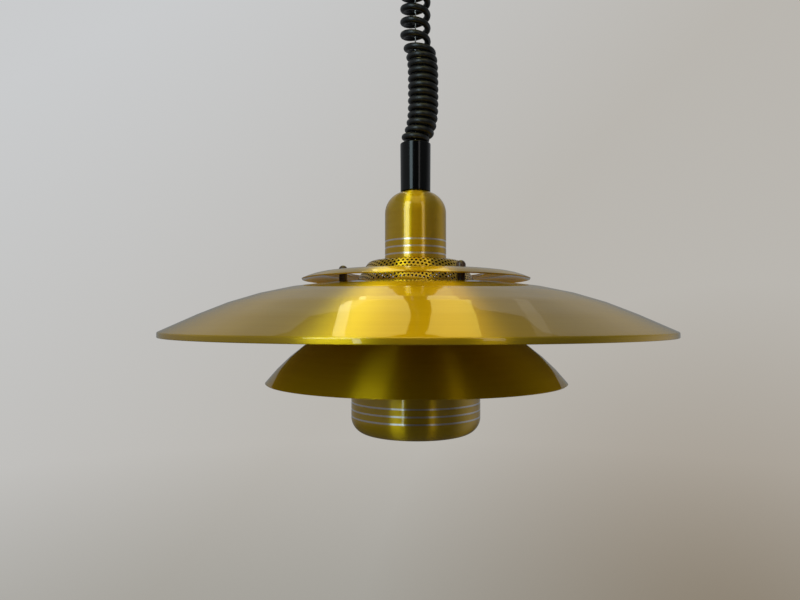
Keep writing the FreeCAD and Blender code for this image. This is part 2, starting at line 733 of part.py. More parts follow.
def curl_height(turn):
    """Height after so many turns from the top: open turns first, then closed ones."""
    open_pitch = (CURL_TOP - CURL_LOW - CLOSED_TURNS * CLOSED_PITCH) / OPEN_TURNS
    return CURL_TOP - open_pitch * min(turn, OPEN_TURNS) - CLOSED_PITCH * max(0.0, turn - OPEN_TURNS)


def curl_point(turn):
    """The cord's centre: a circle of the curls' radius, about an axis that bows sideways low down."""
    z = curl_height(turn)
    along = min(1.0, (z - CURL_LOW) / BOW_SPAN)
    bow = CORD_BOW * (1 - (2 * along - 1) ** 4)
    return outward(CURL_END_ANGLE + 360 * (turn - CURL_TURNS)) * CURL_RADIUS + vec(bow, 0, z)


def curl_way(turn):
    """The cord's direction, downwards, from points close by on either side. It starts level."""
    step = 0.01
    if turn <= 0:
        return sideways(CURL_START_ANGLE)
    way = curl_point(min(turn + step, CURL_TURNS)) - curl_point(turn - step)
    way.normalize()
    return way


def cord_arcs():
    """The cord's path between its straight ends: round the curls, then down inside the tube."""
    upper = vec(GRIP_PLACE[0], GRIP_PLACE[1], CURL_TOP + TOP_BEND)
    stations = [(upper, vec(0, 0, -1))]
    stations += [(curl_point(k / 2), curl_way(k / 2)) for k in range(int(2 * CURL_TURNS) + 1)]
    inside = outward(CURL_END_ANGLE + 180) * TAIL_RADIUS + vec(0, 0, CURL_LOW - TAIL_DROP)
    stations.append((inside, sideways(CURL_END_ANGLE + 180)))
    stations.append((vec(TAIL_PLACE[0], TAIL_PLACE[1], inside.z - TAIL_BEND), vec(0, 0, -1)))
    arcs = []
    for (start, start_way), (end, end_way) in zip(stations, stations[1:]):
        one, two = biarc(start, start_way, end, end_way)
        arcs += [one, two[::-1]]
    return arcs


def least_gap(points, skip):
    """The smallest distance between points of a line that lie more than skip apart along it."""
    least = 1e9
    for k in range(0, len(points)):
        for other in range(k + skip, min(len(points), k + 6 * skip)):
            least = min(least, points[k].distanceToPoint(points[other]))
    return least


def curly_cord():
    """One unbroken tube: a straight end, the curls, and a tail that dives into the grip tube."""
    arcs = cord_arcs()
    first = vec(arcs[0][0].x, arcs[0][0].y, -CANOPY_HEIGHT - GRIP_FLANGE_THICK)
    last = vec(arcs[-1][2].x, arcs[-1][2].y, RIM_Z + LOWER_GRIP_TOP)
    edges = [Part.LineSegment(first, arcs[0][0]).toShape()]
    edges += [Part.Arc(*arc).toShape() for arc in arcs]
    edges.append(Part.LineSegment(arcs[-1][2], last).toShape())
    path = Part.Wire(edges)
    points = path.discretize(Distance=1.0)
    gap = least_gap(points, int(0.6 * 2 * math.pi * CURL_RADIUS)) - CORD_DIAMETER
    tightest = min(Part.Arc(*arc).toShape().Curve.Radius for arc in arcs)
    cord = tube_along(edges, CORD_DIAMETER / 2, vec(0, 0, -1))
    section = math.pi * CORD_DIAMETER ** 2 / 4
    print("curly cord: length %.0f mm, least gap %.2f mm, tightest radius %.1f mm, volume share %.4f"
          % (path.Length, gap, tightest, cord.Volume / (section * path.Length)))
    if gap < LEAST_CORD_GAP:
        print("curly cord: the turns touch")
    return cord


def suspension_wire():
    """The steel wire, straight from the drum's side down to the stirrup."""
    low = RIM_Z + STIRRUP_TOP - STIRRUP_THICK - FERRULE_LENGTH
    return post(WIRE_RADIUS, low, DRUM_AXIS_Z)


# ---- what hangs the lamp on the wire -------------------------------------------------------------
CAP_TOP = CAGE_TOP + CAP_HEIGHT
TUBE_SEAT = CAP_TOP + TUBE_FLOOR
STIRRUP_TOP = TUBE_SEAT + STIRRUP_HEIGHT
NIPPLE_TOP = TUBE_SEAT + STIRRUP_THICK + NIPPLE_NUT_THICK + NIPPLE_ABOVE_NUT


def grip_tube():
    """Slightly tapered tube that hides the wire's fixing, open at the top."""
    hole = NIPPLE_RADIUS + NIPPLE_FIT
    slant = (TUBE_TOP_RADIUS - TUBE_BOTTOM_RADIUS) / TUBE_LENGTH
    outer_low = TUBE_TOP_RADIUS - slant * TUBE_ROUND
    diagonal = TUBE_ROUND * (1 - math.sqrt(0.5))
    return turned((hole, CAP_TOP), [
        (TUBE_BOTTOM_RADIUS, CAP_TOP), (outer_low, TUBE_TOP - TUBE_ROUND),
        ((outer_low - diagonal, TUBE_TOP - diagonal), (outer_low - TUBE_ROUND, TUBE_TOP)),
        (TUBE_BORE, TUBE_TOP), (TUBE_BORE, TUBE_SEAT), (hole, TUBE_SEAT),
    ])


def wire_stirrup():
    """Bent steel strap: the nipple's nut holds its foot, and the wire's ferrule hangs it by its top."""
    half = STIRRUP_HALF_LENGTH
    width = (-STIRRUP_HALF_WIDTH, STIRRUP_HALF_WIDTH)
    strap = block(width, (-half, half), (TUBE_SEAT, STIRRUP_TOP))
    inner = half - STIRRUP_THICK
    window = (TUBE_SEAT + STIRRUP_THICK, STIRRUP_TOP - STIRRUP_THICK)
    strap = strap.cut(block((-half, half), (-inner, inner), window))
    foot = post(half, TUBE_SEAT, TUBE_SEAT + STIRRUP_THICK)
    strap = strap.fuse(foot).cut(post(NIPPLE_RADIUS + NIPPLE_FIT, TUBE_SEAT - CUT, TUBE_SEAT + CUT))
    return strap.cut(post(WIRE_RADIUS, STIRRUP_TOP - CUT, STIRRUP_TOP + CUT)).removeSplitter()


def wire_ferrule():
    """Crimped sleeve on the wire's end, under the stirrup's top."""
    high = STIRRUP_TOP - STIRRUP_THICK
    return pipe(FERRULE_RADIUS, WIRE_RADIUS, high - FERRULE_LENGTH, high)


def lower_cord_grip():
    """Plug in the grip tube that holds the cord's lower end and keeps the wire in the middle."""
    plug = post(TUBE_BORE - LOWER_GRIP_CLEARANCE, STIRRUP_TOP, LOWER_GRIP_TOP)
    plug = plug.cut(post(WIRE_RADIUS + WIRE_HOLE_CLEARANCE, STIRRUP_TOP - CUT, LOWER_GRIP_TOP + CUT))
    return plug.cut(post(CORE_RADIUS * 2 + CORE_GAP, STIRRUP_TOP - CUT, LOWER_GRIP_TOP + CUT, *TAIL_PLACE))


def threaded_nipple():
    """Hollow threaded rod through the cap, the tube's floor and the stirrup's foot."""
    return pipe(NIPPLE_RADIUS, NIPPLE_BORE, CAP_TOP - NIPPLE_BELOW_CAP, NIPPLE_TOP)


def nipple_nuts():
    """A nut on the stirrup's foot and one under the cap."""
    lows = (TUBE_SEAT + STIRRUP_THICK, CAP_TOP - CAP_WALL - NIPPLE_NUT_THICK)
    nuts = [hexagon(NIPPLE_NUT_ACROSS, NIPPLE_NUT_THICK, low) for low in lows]
    return Part.makeCompound([nut.cut(post(NIPPLE_RADIUS, -CUT, TUBE_TOP)) for nut in nuts])


def inner_leads():
    """The cord's two cores, from the lower grip down through the nipple to the lampholder's screws."""
    leads = []
    x, y = TAIL_PLACE
    apart = CORE_RADIUS + CORE_GAP / 2
    screw_top = HOLDER_SPLIT + HOLDER_SCREW_HEAD
    half = CORE_DROP / 2
    for side in (-1, 1):
        off = side * apart
        screw_x = side * HOLDER_SCREW_X
        points = [vec(x, y + off, LOWER_GRIP_TOP), vec(x, y + off, STIRRUP_TOP - half),
                  vec(x / 2, off, NIPPLE_TOP + half), vec(0, off, NIPPLE_TOP - half),
                  vec(CORE_GAP, off, NIPPLE_TOP - 3 * half),
                  vec(side * CORE_SPREAD, off, HOLDER_TOP - CORE_DROP),
                  vec(screw_x, 0, screw_top + CORE_DROP), vec(screw_x, 0, screw_top)]
        leads.append(routed(points, CORE_RADIUS))
    return Part.makeCompound(leads)


# ---- cap, cage and shades ------------------------------------------------------------------------
def with_lines(shape, radius, first):
    """The shape with shallow turned lines round its side."""
    for k in range(LINE_COUNT):
        low = first + k * LINE_PITCH - LINE_WIDTH / 2
        shape = shape.cut(pipe(radius + CUT, radius - LINE_DEPTH, low, low + LINE_WIDTH))
    return shape


def cap():
    """Bell-shaped cap over the lampholder."""
    outline = [(NIPPLE_RADIUS + NIPPLE_FIT, CAP_TOP), (CAP_RADIUS, CAP_TOP), (CAP_RADIUS, CAGE_TOP)]
    shell = spun(outline, [CAP_ROUND], CAP_WALL)
    return with_lines(shell, CAP_RADIUS, CAGE_TOP + CAP_LINE_RISE)


def main_top():
    """Height of the main shade's flat top, from its lip, slope and crown."""
    slope = math.radians(MAIN_ANGLE)
    crown_end = MAIN_FLAT_RADIUS + MAIN_CROWN * math.sin(slope)
    return MAIN_LIP + (MAIN_RADIUS - crown_end) * math.tan(slope) + MAIN_CROWN * (1 - math.cos(slope))


MAIN_TOP = main_top()
RING_TOP = MAIN_TOP + RING_RISE
CAGE_FLANGE_TOP = MAIN_TOP - SHEET - CAGE_FLANGE_CLEARANCE
CAGE_FLANGE_LOW = CAGE_FLANGE_TOP - CAGE_WALL
STUD_HOLE = STUD_RADIUS + STUD_FIT


def vent_cage():
    """Cage that carries the shades from the lampholder, with a flange that follows the shade's underside."""
    crown = MAIN_CROWN - SHEET - CAGE_FLANGE_CLEARANCE
    slope = math.asin((CAGE_FLANGE_RADIUS - MAIN_FLAT_RADIUS) / crown)
    reach = crown * math.tan(slope / 2)
    corner = MAIN_FLAT_RADIUS + reach
    beyond = reach + SEAM
    points = [
        (HOLDER_RADIUS + CAGE_HOLE_CLEARANCE, CAGE_TOP), (CAGE_TOP_RADIUS, CAGE_TOP), CAGE_SHOULDER,
        (CAGE_BASE_RADIUS, MAIN_TOP + CAGE_NECK), (CAGE_BASE_RADIUS, CAGE_FLANGE_TOP),
        (corner, CAGE_FLANGE_TOP),
        (corner + beyond * math.cos(slope), CAGE_FLANGE_TOP - beyond * math.sin(slope)),
    ]
    shell = spun(points, [0.0, CAGE_SHOULDER_ROUND, 0.0, 0.0, crown], CAGE_WALL)
    return drilled(shell, STUD_HOLE, CAGE_FLANGE_LOW - CUT, CAGE_FLANGE_TOP + CUT)


def main_shade():
    """The large spun shade: a flat top, one long crown, a straight slope and a short upright lip."""
    slope = math.radians(MAIN_ANGLE)
    corner = MAIN_FLAT_RADIUS + MAIN_CROWN * math.tan(slope / 2)
    outline = [(CAGE_BASE_RADIUS + CAGE_HOLE_CLEARANCE, MAIN_TOP), (corner, MAIN_TOP),
               (MAIN_RADIUS, MAIN_LIP), (MAIN_RADIUS, 0.0)]
    shell = spun(outline, [MAIN_CROWN, LIP_ROUND], SHEET)
    return drilled(shell, STUD_HOLE, MAIN_TOP - SHEET - CUT, MAIN_TOP + CUT)


def top_ring():
    """Shallow spun disc above the main shade."""
    slope = math.radians(RING_ANGLE)
    flat = RING_RADIUS - RING_CROWN * math.sin(slope)
    corner = flat + RING_CROWN * math.tan(slope / 2)
    beyond = RING_CROWN * math.tan(slope / 2) + SEAM
    edge = (corner + beyond * math.cos(slope), RING_TOP - beyond * math.sin(slope))
    shell = spun([(RING_HOLE_RADIUS, RING_TOP), (corner, RING_TOP), edge], [RING_CROWN], SHEET)
    return drilled(shell, STUD_HOLE, RING_TOP - SHEET - CUT, RING_TOP + CUT)


def lower_top():
    """Height of the lower shade's flange, from its rim and crown."""
    slopes = [math.radians(s) for s in (LOWER_TOP_ANGLE, LOWER_RIM_ANGLE)]
    return -LOWER_DROP + LOWER_CROWN * (math.cos(slopes[0]) - math.cos(slopes[1]))


LOWER_TOP = lower_top()
STRAP_TOP = LOWER_TOP - SHEET
NUT_TOP = STRAP_TOP - STRAP_THICK


def lower_shade():
    """The middle tier: a flat flange and a crown of one radius down to its rim."""
    start, end = [math.radians(s) for s in (LOWER_TOP_ANGLE, LOWER_RIM_ANGLE)]
    flange = LOWER_RADIUS - LOWER_CROWN * (math.sin(end) - math.sin(start))
    reach = LOWER_CROWN * math.tan((end - start) / 2)
    corner = (flange + reach * math.cos(start), LOWER_TOP - reach * math.sin(start))
    beyond = reach + SEAM
    rim = (corner[0] + beyond * math.cos(end), corner[1] - beyond * math.sin(end))
    outline = [(LOWER_HOLE_RADIUS, LOWER_TOP), (flange, LOWER_TOP), corner, rim]
    shell = spun(outline, [0.0, LOWER_CROWN], SHEET)
    return drilled(shell, STUD_HOLE, LOWER_TOP - SHEET - CUT, LOWER_TOP + CUT)


def cup():
    """The bottom cup that hides the bulb from the side, open below."""
    edge = CUP_BOTTOM + CUP_HEIGHT
    outline = [(CUP_MOUTH_RADIUS, CUP_BOTTOM), (CUP_RADIUS, CUP_BOTTOM), (CUP_RADIUS, edge)]
    shell = spun(outline, [CUP_ROUND], -CUP_WALL)
    shell = with_lines(shell, CUP_RADIUS, CUP_BOTTOM + CUP_LINE_RISE)
    return shell.cut(rivet_holes())


# ---- studs, pegs, straps -------------------------------------------------------------------------
RIVET_Z = CUP_BOTTOM + CUP_HEIGHT - RIVET_DROP
STRAP_OUTER = CUP_RADIUS - CUP_WALL - STRAP_CLEARANCE


def ring_spacers():
    """Three pegs between the main shade and the top ring."""
    return at_pegs(lambda x, y: pipe(PEG_RADIUS, STUD_HOLE, MAIN_TOP, RING_TOP - SHEET, x, y))


def shade_spacers():
    """Three sleeves between the vent cage's flange and the lower shade."""
    high = CAGE_FLANGE_LOW - SPACER_CLEARANCE
    return at_pegs(lambda x, y: pipe(PEG_RADIUS, STUD_HOLE, LOWER_TOP, high, x, y))


def studs():
    """Three threaded rods that hold the tiers together."""
    low = NUT_TOP - NUT_THICK - STUD_END
    return at_pegs(lambda x, y: post(STUD_RADIUS, low, RING_TOP + KNOB_THREAD, x, y))


def knobs():
    """Round-headed nuts on top of the ring."""
    straight = KNOB_HEIGHT - KNOB_RADIUS
    diagonal = KNOB_RADIUS * math.sqrt(0.5)
    knob = turned((0.0, RING_TOP), [
        (KNOB_RADIUS, RING_TOP), (KNOB_RADIUS, RING_TOP + straight),
        ((diagonal, RING_TOP + straight + diagonal), (0.0, RING_TOP + KNOB_HEIGHT)),
    ])
    knob = knob.cut(post(STUD_RADIUS, RING_TOP - CUT, RING_TOP + KNOB_THREAD))
    return at_pegs(lambda x, y: knob.translated(vec(x, y, 0)))


def stud_nuts():
    """Hexagon nuts under the cup's straps."""
    low = NUT_TOP - NUT_THICK
    nut = hexagon(NUT_ACROSS, NUT_THICK, low).cut(post(STUD_RADIUS, low - CUT, NUT_TOP + CUT))
    return at_pegs(lambda x, y: nut.translated(vec(x, y, 0)))


def round_lamp(shape, angle):
    shape = shape.copy()
    shape.rotate(vec(0, 0, 0), vec(0, 0, 1), angle)
    return shape


def at_straps(blank):
    """A copy of the blank, drawn along +X, at each stud's angle."""
    return Part.makeCompound([round_lamp(blank, PEG_START + 360.0 * k / PEG_COUNT) for k in range(PEG_COUNT)])


def cup_straps():
    """Angled straps from the studs down to the cup's inside wall."""
    inner = STRAP_OUTER - STRAP_THICK
    low = CUP_BOTTOM + CUP_HEIGHT - STRAP_OVERLAP
    profile = Part.makePolygon([vec(*p) for p in (
        (inner, 0, low), (STRAP_OUTER, 0, low), (STRAP_OUTER, 0, NUT_TOP), (STRAP_TAB_RADIUS, 0, NUT_TOP),
        (STRAP_TAB_RADIUS, 0, STRAP_TOP), (inner, 0, STRAP_TOP), (inner, 0, low))])
    blank = Part.Face(profile).revolve(vec(0, 0, 0), vec(0, 0, 1), STRAP_ANGLE)
    blank = round_lamp(blank, -STRAP_ANGLE / 2)
    blank = blank.cut(post(STUD_HOLE, NUT_TOP - CUT, STRAP_TOP + CUT, PEG_CIRCLE))
    blank = blank.cut(rod_x(RIVET_RADIUS, inner - CUT, CUP_RADIUS + CUT, 0, RIVET_Z))
    return at_straps(blank)


def rivet_holes():
    return at_straps(rod_x(RIVET_RADIUS, CUP_RADIUS - 2 * CUT, CUP_RADIUS + CUT, 0, RIVET_Z))


def cup_rivets():
    """One rivet through the cup's wall and each strap."""
    inner = STRAP_OUTER - STRAP_THICK
    shank = rod_x(RIVET_RADIUS, inner - RIVET_HEAD, CUP_RADIUS + RIVET_HEAD, 0, RIVET_Z)
    outside = rod_x(RIVET_HEAD_RADIUS, CUP_RADIUS, CUP_RADIUS + RIVET_HEAD, 0, RIVET_Z)
    inside = rod_x(RIVET_HEAD_RADIUS, inner - RIVET_HEAD, inner - RIVET_SEAT, 0, RIVET_Z)
    return at_straps(shank.fuse([outside, inside]).removeSplitter())


# ---- lampholder ----------------------------------------------------------------------------------
SHELL_LOW = HOLDER_MOUTH + SCREW_SHELL_INSET
SHELL_TOP = SHELL_LOW + SCREW_SHELL_LENGTH
BORE = SCREW_SHELL_BORE + SCREW_SHELL_WALL + HOLDER_BORE_FIT
BASE_LOW = HOLDER_SPLIT - BASE_HEIGHT


def holder_dome():
    """Upper half of the lampholder, screwed on the nipple."""
    hole = NIPPLE_RADIUS + RUNNING_FIT
    shell = spun([(hole, HOLDER_TOP), (HOLDER_RADIUS, HOLDER_TOP), (HOLDER_RADIUS, HOLDER_SPLIT)],
                 [HOLDER_ROUND], HOLDER_WALL)
    boss = pipe(NIPPLE_RADIUS + BOSS_WALL, hole, CAP_TOP - NIPPLE_BELOW_CAP, HOLDER_TOP - HOLDER_WALL)
    return shell.fuse(boss).removeSplitter()


def holder_skirt():
    """Lower half: a threaded skirt with a collar that rests on the vent cage."""
    upper = BASE_RADIUS + RUNNING_FIT
    return turned((BORE, HOLDER_MOUTH), [
        (HOLDER_RADIUS, HOLDER_MOUTH), (HOLDER_RADIUS, CAGE_TOP), (COLLAR_RADIUS, CAGE_TOP),
        (COLLAR_RADIUS, CAGE_TOP + COLLAR_THICK), (HOLDER_RADIUS, CAGE_TOP + COLLAR_THICK),
        (HOLDER_RADIUS, HOLDER_SPLIT), (upper, HOLDER_SPLIT), (upper, BASE_LOW), (BORE, BASE_LOW),
    ])


def shade_ring():
    """Ring nut on the skirt, which clamps the vent cage."""
    high = CAGE_TOP - CAGE_WALL
    ring = pipe(SHADE_RING_RADIUS, HOLDER_RADIUS + SHADE_RING_FIT, high - SHADE_RING_HEIGHT, high)
    for k in range(SHADE_RING_NOTCHES):
        spot = outward(360.0 * k / SHADE_RING_NOTCHES) * (SHADE_RING_RADIUS + SHADE_RING_NOTCH / 2)
        ring = ring.cut(post(SHADE_RING_NOTCH, high - SHADE_RING_HEIGHT - CUT, high + CUT, spot.x, spot.y))
    return ring


def screw_shell():
    """The brass shell that the bulb screws into."""
    outer = SCREW_SHELL_BORE + SCREW_SHELL_WALL
    shell = pipe(outer, SCREW_SHELL_BORE, SHELL_LOW, SHELL_TOP)
    lug = pipe(outer, SCREW_SHELL_BORE + SHELL_LUG_STEP, SHELL_TOP, BASE_LOW)
    across = (-SHELL_LUG_WIDTH / 2, SHELL_LUG_WIDTH / 2)
    return shell.fuse(lug.common(block((0, BORE), across, (SHELL_TOP, BASE_LOW)))).removeSplitter()


def contact_base():
    """Ceramic disc that carries the contacts."""
    disc = post(BASE_RADIUS, BASE_LOW, HOLDER_SPLIT - BASE_DROP)
    hole = HOLDER_SCREW_RADIUS + HOLDER_SCREW_FIT
    for side in (-1, 1):
        disc = disc.cut(post(hole, BASE_LOW - CUT, HOLDER_SPLIT + CUT, side * HOLDER_SCREW_X))
    return disc


def centre_contact():
    """Springy strip with a bump for the bulb's tip."""
    strip = block((-CONTACT_LENGTH / 2, CONTACT_LENGTH / 2), (-CONTACT_WIDTH / 2, CONTACT_WIDTH / 2),
                  (BASE_LOW - CONTACT_THICK, BASE_LOW))
    tip = vec(0, 0, BASE_LOW - CONTACT_THICK - CONTACT_BUMP)
    bump = Part.makeCone(*CONTACT_BUMP_RADII, CONTACT_BUMP, tip)
    return strip.fuse(bump).removeSplitter()


def holder_screws():
    """Two terminal screws on the ceramic disc."""
    screws = []
    for side in (-1, 1):
        x = side * HOLDER_SCREW_X
        seat = HOLDER_SPLIT - BASE_DROP
        shank = post(HOLDER_SCREW_RADIUS, BASE_LOW, seat, x)
        head = post(HOLDER_SCREW_HEAD_RADIUS, seat, HOLDER_SPLIT + HOLDER_SCREW_HEAD, x)
        screws.append(shank.fuse(head).removeSplitter())
    return Part.makeCompound(screws)


CEILING_PIECES = [
    ceiling_bracket, canopy_screws, canopy_cover, reel_frame, frame_screws, reel_axle, axle_rings, reel_drum,
    drum_cover, drum_screws, mainspring, wire_winding, brake_pad, tension_screw, terminal_block,
    terminal_screws, guide_bush, upper_cord_grip, supply_lead, curly_cord, suspension_wire,
]
LAMP_PIECES = [
    grip_tube, wire_stirrup, wire_ferrule, lower_cord_grip, threaded_nipple, nipple_nuts, inner_leads, cap,
    vent_cage, main_shade, top_ring, lower_shade, cup, ring_spacers, shade_spacers, studs, knobs, stud_nuts,
    cup_straps, cup_rivets, holder_dome, holder_skirt, shade_ring, screw_shell, contact_base, centre_contact,
    holder_screws,
]

os.makedirs("parts", exist_ok=True)
for piece in CEILING_PIECES:
    save(piece.__name__, piece())
for piece in LAMP_PIECES:
    save_lamp(piece.__name__, piece())
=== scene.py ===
"""Rise and fall pendant in spun gold metal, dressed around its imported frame.

Constants are in metres. The heights of the lamp's pieces count from the bottom edge of the main
shade's rim, and those of the cord, the wire and the stage from the ceiling.
"""
import json
import math

import bmesh
import bpy
import numpy as np
from mathutils.geometry import delaunay_2d_cdt
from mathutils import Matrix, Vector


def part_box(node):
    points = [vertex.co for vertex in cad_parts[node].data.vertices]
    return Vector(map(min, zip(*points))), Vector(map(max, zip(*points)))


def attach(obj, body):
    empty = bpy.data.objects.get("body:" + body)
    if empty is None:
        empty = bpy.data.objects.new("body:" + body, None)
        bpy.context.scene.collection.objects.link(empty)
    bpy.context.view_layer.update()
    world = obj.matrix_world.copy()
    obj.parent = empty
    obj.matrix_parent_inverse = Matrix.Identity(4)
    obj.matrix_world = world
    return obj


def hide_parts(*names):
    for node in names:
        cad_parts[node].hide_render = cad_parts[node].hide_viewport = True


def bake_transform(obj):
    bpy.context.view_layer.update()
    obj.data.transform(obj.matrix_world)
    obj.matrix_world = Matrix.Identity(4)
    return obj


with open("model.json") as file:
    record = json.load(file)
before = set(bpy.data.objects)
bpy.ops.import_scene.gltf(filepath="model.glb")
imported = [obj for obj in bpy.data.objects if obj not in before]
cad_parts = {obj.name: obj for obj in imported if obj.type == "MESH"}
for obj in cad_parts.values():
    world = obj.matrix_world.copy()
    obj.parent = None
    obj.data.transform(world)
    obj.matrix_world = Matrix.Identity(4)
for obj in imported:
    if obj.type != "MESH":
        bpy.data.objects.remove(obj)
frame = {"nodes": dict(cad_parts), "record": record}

bl_info = {
    "name": "Rise and fall pendant",
    "version": (1, 0, 0),
    "blender": (4, 5, 0),
    "location": "View3D > Sidebar > Pendant",
    "description": "Makes the pieces, finishes and stage of a rise and fall pendant",
    "category": "Object",
}

MM = 0.001
FULL_TURN = 2 * math.pi
RIM_Z = round(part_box("main_shade")[0].z, 5)
UV_NAME = "UVMap"
ARC_STEP = math.radians(6.0)
END_POINTS = 7
LONG_RUN = 0.006
SHARP_DEGREES = 35.0
MERGED = 1e-7
TINY = 1e-6
OVERSHOOT = 0.01 * MM


# ---- sizes and colours ---------------------------------------------------------------------------
def length(name, description, millimetres):
    return bpy.props.FloatProperty(name=name, description=description, default=millimetres * MM, min=0.0,
                                   precision=5, unit="LENGTH", subtype="DISTANCE")


def angle(name, description, degrees):
    return bpy.props.FloatProperty(name=name, description=description, default=math.radians(degrees),
                                   unit="ROTATION", subtype="ANGLE")


def colour(name, description, default):
    return bpy.props.FloatVectorProperty(name=name, description=description, default=default, size=3,
                                         min=0.0, max=1.0, subtype="COLOR")


class ShadeSizes(bpy.types.PropertyGroup):
    """Sizes of the spun tiers"""
    sheet: length("Sheet", "Thickness of the spun shades", 1.2)
    main_radius: length("Main shade radius", "Radius of the main shade's rim", 240.0)
    main_lip: length("Main shade lip", "Height of the main shade's upright lip", 4.7)
    main_crown: length("Main shade crown", "Radius of the main shade's crown in section", 328.0)
    main_flat: length("Main shade flat", "Radius of the main shade's flat top", 68.3)
    main_angle: angle("Main shade slope", "Slope of the main shade's outer part", 25.0)
    lip_round: length("Lip bend", "Radius of the bend above the lip", 1.6)
    ring_radius: length("Top ring radius", "Radius of the top ring's edge", 112.2)
    ring_hole: length("Top ring hole", "Radius of the hole in the top ring", 64.5)
    ring_rise: length("Top ring height", "Height of the top ring above the main shade", 10.93)
    ring_crown: length("Top ring crown", "Radius of the top ring's crown in section", 63.0)
    ring_angle: angle("Top ring slope", "Slope at the top ring's edge", 26.4)
    lower_radius: length("Lower shade radius", "Radius of the lower shade's rim", 146.0)
    lower_drop: length("Lower shade drop", "How far its rim hangs below the main rim", 44.8)
    lower_crown: length("Lower shade crown", "Radius of the lower shade in section", 180.0)
    lower_top_angle: angle("Lower shade top slope", "Slope where its flange ends", 25.0)
    lower_rim_angle: angle("Lower shade rim slope", "Slope at its rim", 52.0)
    lower_hole: length("Lower shade hole", "Radius of the hole in the lower shade", 60.0)
    cup_radius: length("Cup radius", "Radius of the bottom cup", 63.5)
    cup_height: length("Cup height", "Height of the bottom cup", 48.5)
    cup_drop: length("Cup drop", "How far the cup's bottom hangs below the main rim", 95.5)
    cup_round: length("Cup round", "Radius of the cup's bottom edge", 16.0)
    cup_mouth: length("Cup mouth", "Radius of the cup's mouth", 45.0)
    cap_radius: length("Cap radius", "Radius of the bell-shaped cap", 30.5)
    cap_height: length("Cap height", "Height of the bell-shaped cap", 68.4)
    cap_round: length("Cap round", "Radius of the cap's shoulder", 22.0)
    line_width: length("Line width", "Width of each turned line", 1.6)
    line_depth: length("Line depth", "Depth of each turned line", 0.25)
    line_pitch: length("Line spacing", "Distance between turned lines", 6.75)
    cap_line: length("Cap's first line", "Height of the first line above the cage", 4.6)
    cup_line: length("Cup's first line", "Height of the first line above the cup's bottom", 17.2)


class CageSizes(bpy.types.PropertyGroup):
    """Sizes of the perforated vent cage"""
    wall: length("Cage sheet", "Thickness of the perforated sheet", 0.8)
    top: length("Cage top", "Height of the cage's top", 74.6)
    hole: length("Cage hole", "Radius of the hole for the lampholder", 20.3)
    top_radius: length("Cage top radius", "Radius of the flat top", 33.0)
    shoulder_radius: length("Shoulder radius", "Distance of the shoulder from the axis", 46.5)
    shoulder_height: length("Shoulder height", "Height of the shoulder's corner", 72.7)
    shoulder_round: length("Shoulder round", "Radius of the shoulder", 9.0)
    base_radius: length("Cage base", "Radius of the cage where it meets the shade", 59.8)
    flange_radius: length("Cage flange", "Radius of the flange under the main shade", 80.0)
    vent_radius: length("Vent radius", "Radius of each round vent", 1.3)
    vent_pitch: length("Vent spacing", "Distance between vents in a row", 4.15)
    vent_row: length("Vent row", "Distance of one vent from the axis, along the sheet", 65.84)
    vent_turn: angle("Vent turn", "Direction of that vent; the rows run square to it", -98.1)


class HangingSizes(bpy.types.PropertyGroup):
    """Sizes of the cord, the wire, the tube and the small parts"""
    cord_diameter: length("Cord diameter", "Thickness of the curly cord", 6.4)
    curl_radius: length("Curl radius", "Radius of the curls at the cord's middle", 12.3)
    closed_pitch: length("Closed pitch", "Rise of each closed turn", 7.4)
    cord_bow: length("Cord bow", "How far the lower curls stand to one side", 7.8)
    wire_diameter: length("Wire diameter", "Thickness of the suspension wire", 1.4)
    tube_length: length("Tube length", "Length of the black grip tube", 48.5)
    tube_top: length("Tube top radius", "Radius of the tube at its top", 15.25)
    tube_bottom: length("Tube bottom radius", "Radius of the tube at its foot", 14.9)
    tube_bore: length("Tube bore", "Radius of the bore", 13.0)
    peg_circle: length("Peg circle", "Radius of the circle of pegs", 72.0)
    peg_start: angle("First peg", "Angle of the first peg", -57.0)
    knob_radius: length("Knob radius", "Radius of the knobs", 4.8)
    knob_height: length("Knob height", "Height of the knobs", 7.2)


class Finishes(bpy.types.PropertyGroup):
    """Colours of the pendant's finishes"""
    gold: colour("Gold", "Gold anodised aluminium", (0.84, 0.54, 0.010))
    gold_deep: colour("Deep gold", "Gold where the dye took more strongly", (0.78, 0.475, 0.003))
    aluminium: colour("Aluminium", "Bright cut aluminium", (0.98, 0.89, 0.81))
    cord: colour("Cord", "Sheath of the curly cord", (0.0035, 0.0042, 0.0048))
    tube: colour("Tube", "Glossy black moulding", (0.0010, 0.0012, 0.0014))
    brown: colour("Brown", "Pegs and knobs", (0.055, 0.030, 0.020))
    # painted light and shade on the backdrop: lighter and cooler at the upper left, darker and warmer at
    # the lower right, and a painted shadow in the lower right corner
    wall_lit_cool: colour("Wall, cool", "The stage's wall at the upper left", (0.59, 0.60, 0.61))
    wall_shaded_warm: colour("Wall, warm", "The stage's wall at the lower right", (0.49, 0.47, 0.435))
    wall_painted_shadow: colour("Wall, shaded", "The stage's corner at the lower right", (0.28, 0.22, 0.15))


def sizes(group):
    return getattr(bpy.context.scene, "pendant_" + group)


# ---- curves and sections, worked out with numpy --------------------------------------------------
def directions(points):
    """Unit vectors from each point of a line to the next."""
    steps = np.diff(points, axis=0)
    return steps / np.linalg.norm(steps, axis=1)[:, None]


def left_of(ways):
    """The vectors turned a quarter to their left."""
    return np.stack([-ways[:, 1], ways[:, 0]], axis=1)


def round_angles(count):
    """Angles spread evenly round the axis."""
    return FULL_TURN * np.arange(count) / count


def shifted(points, distance):
    """The line moved sideways to its left: each corner moves along (left of the run before + left of the
    run after) / (1 + their cosine), so that both runs move by the same distance."""
    points = np.asarray(points, float)
    ways = directions(points)
    before = np.vstack([ways[:1], ways])
    after = np.vstack([ways, ways[-1:]])
    cosine = np.sum(before * after, axis=1)
    return points + left_of(before + after) / (1 + cosine)[:, None] * distance


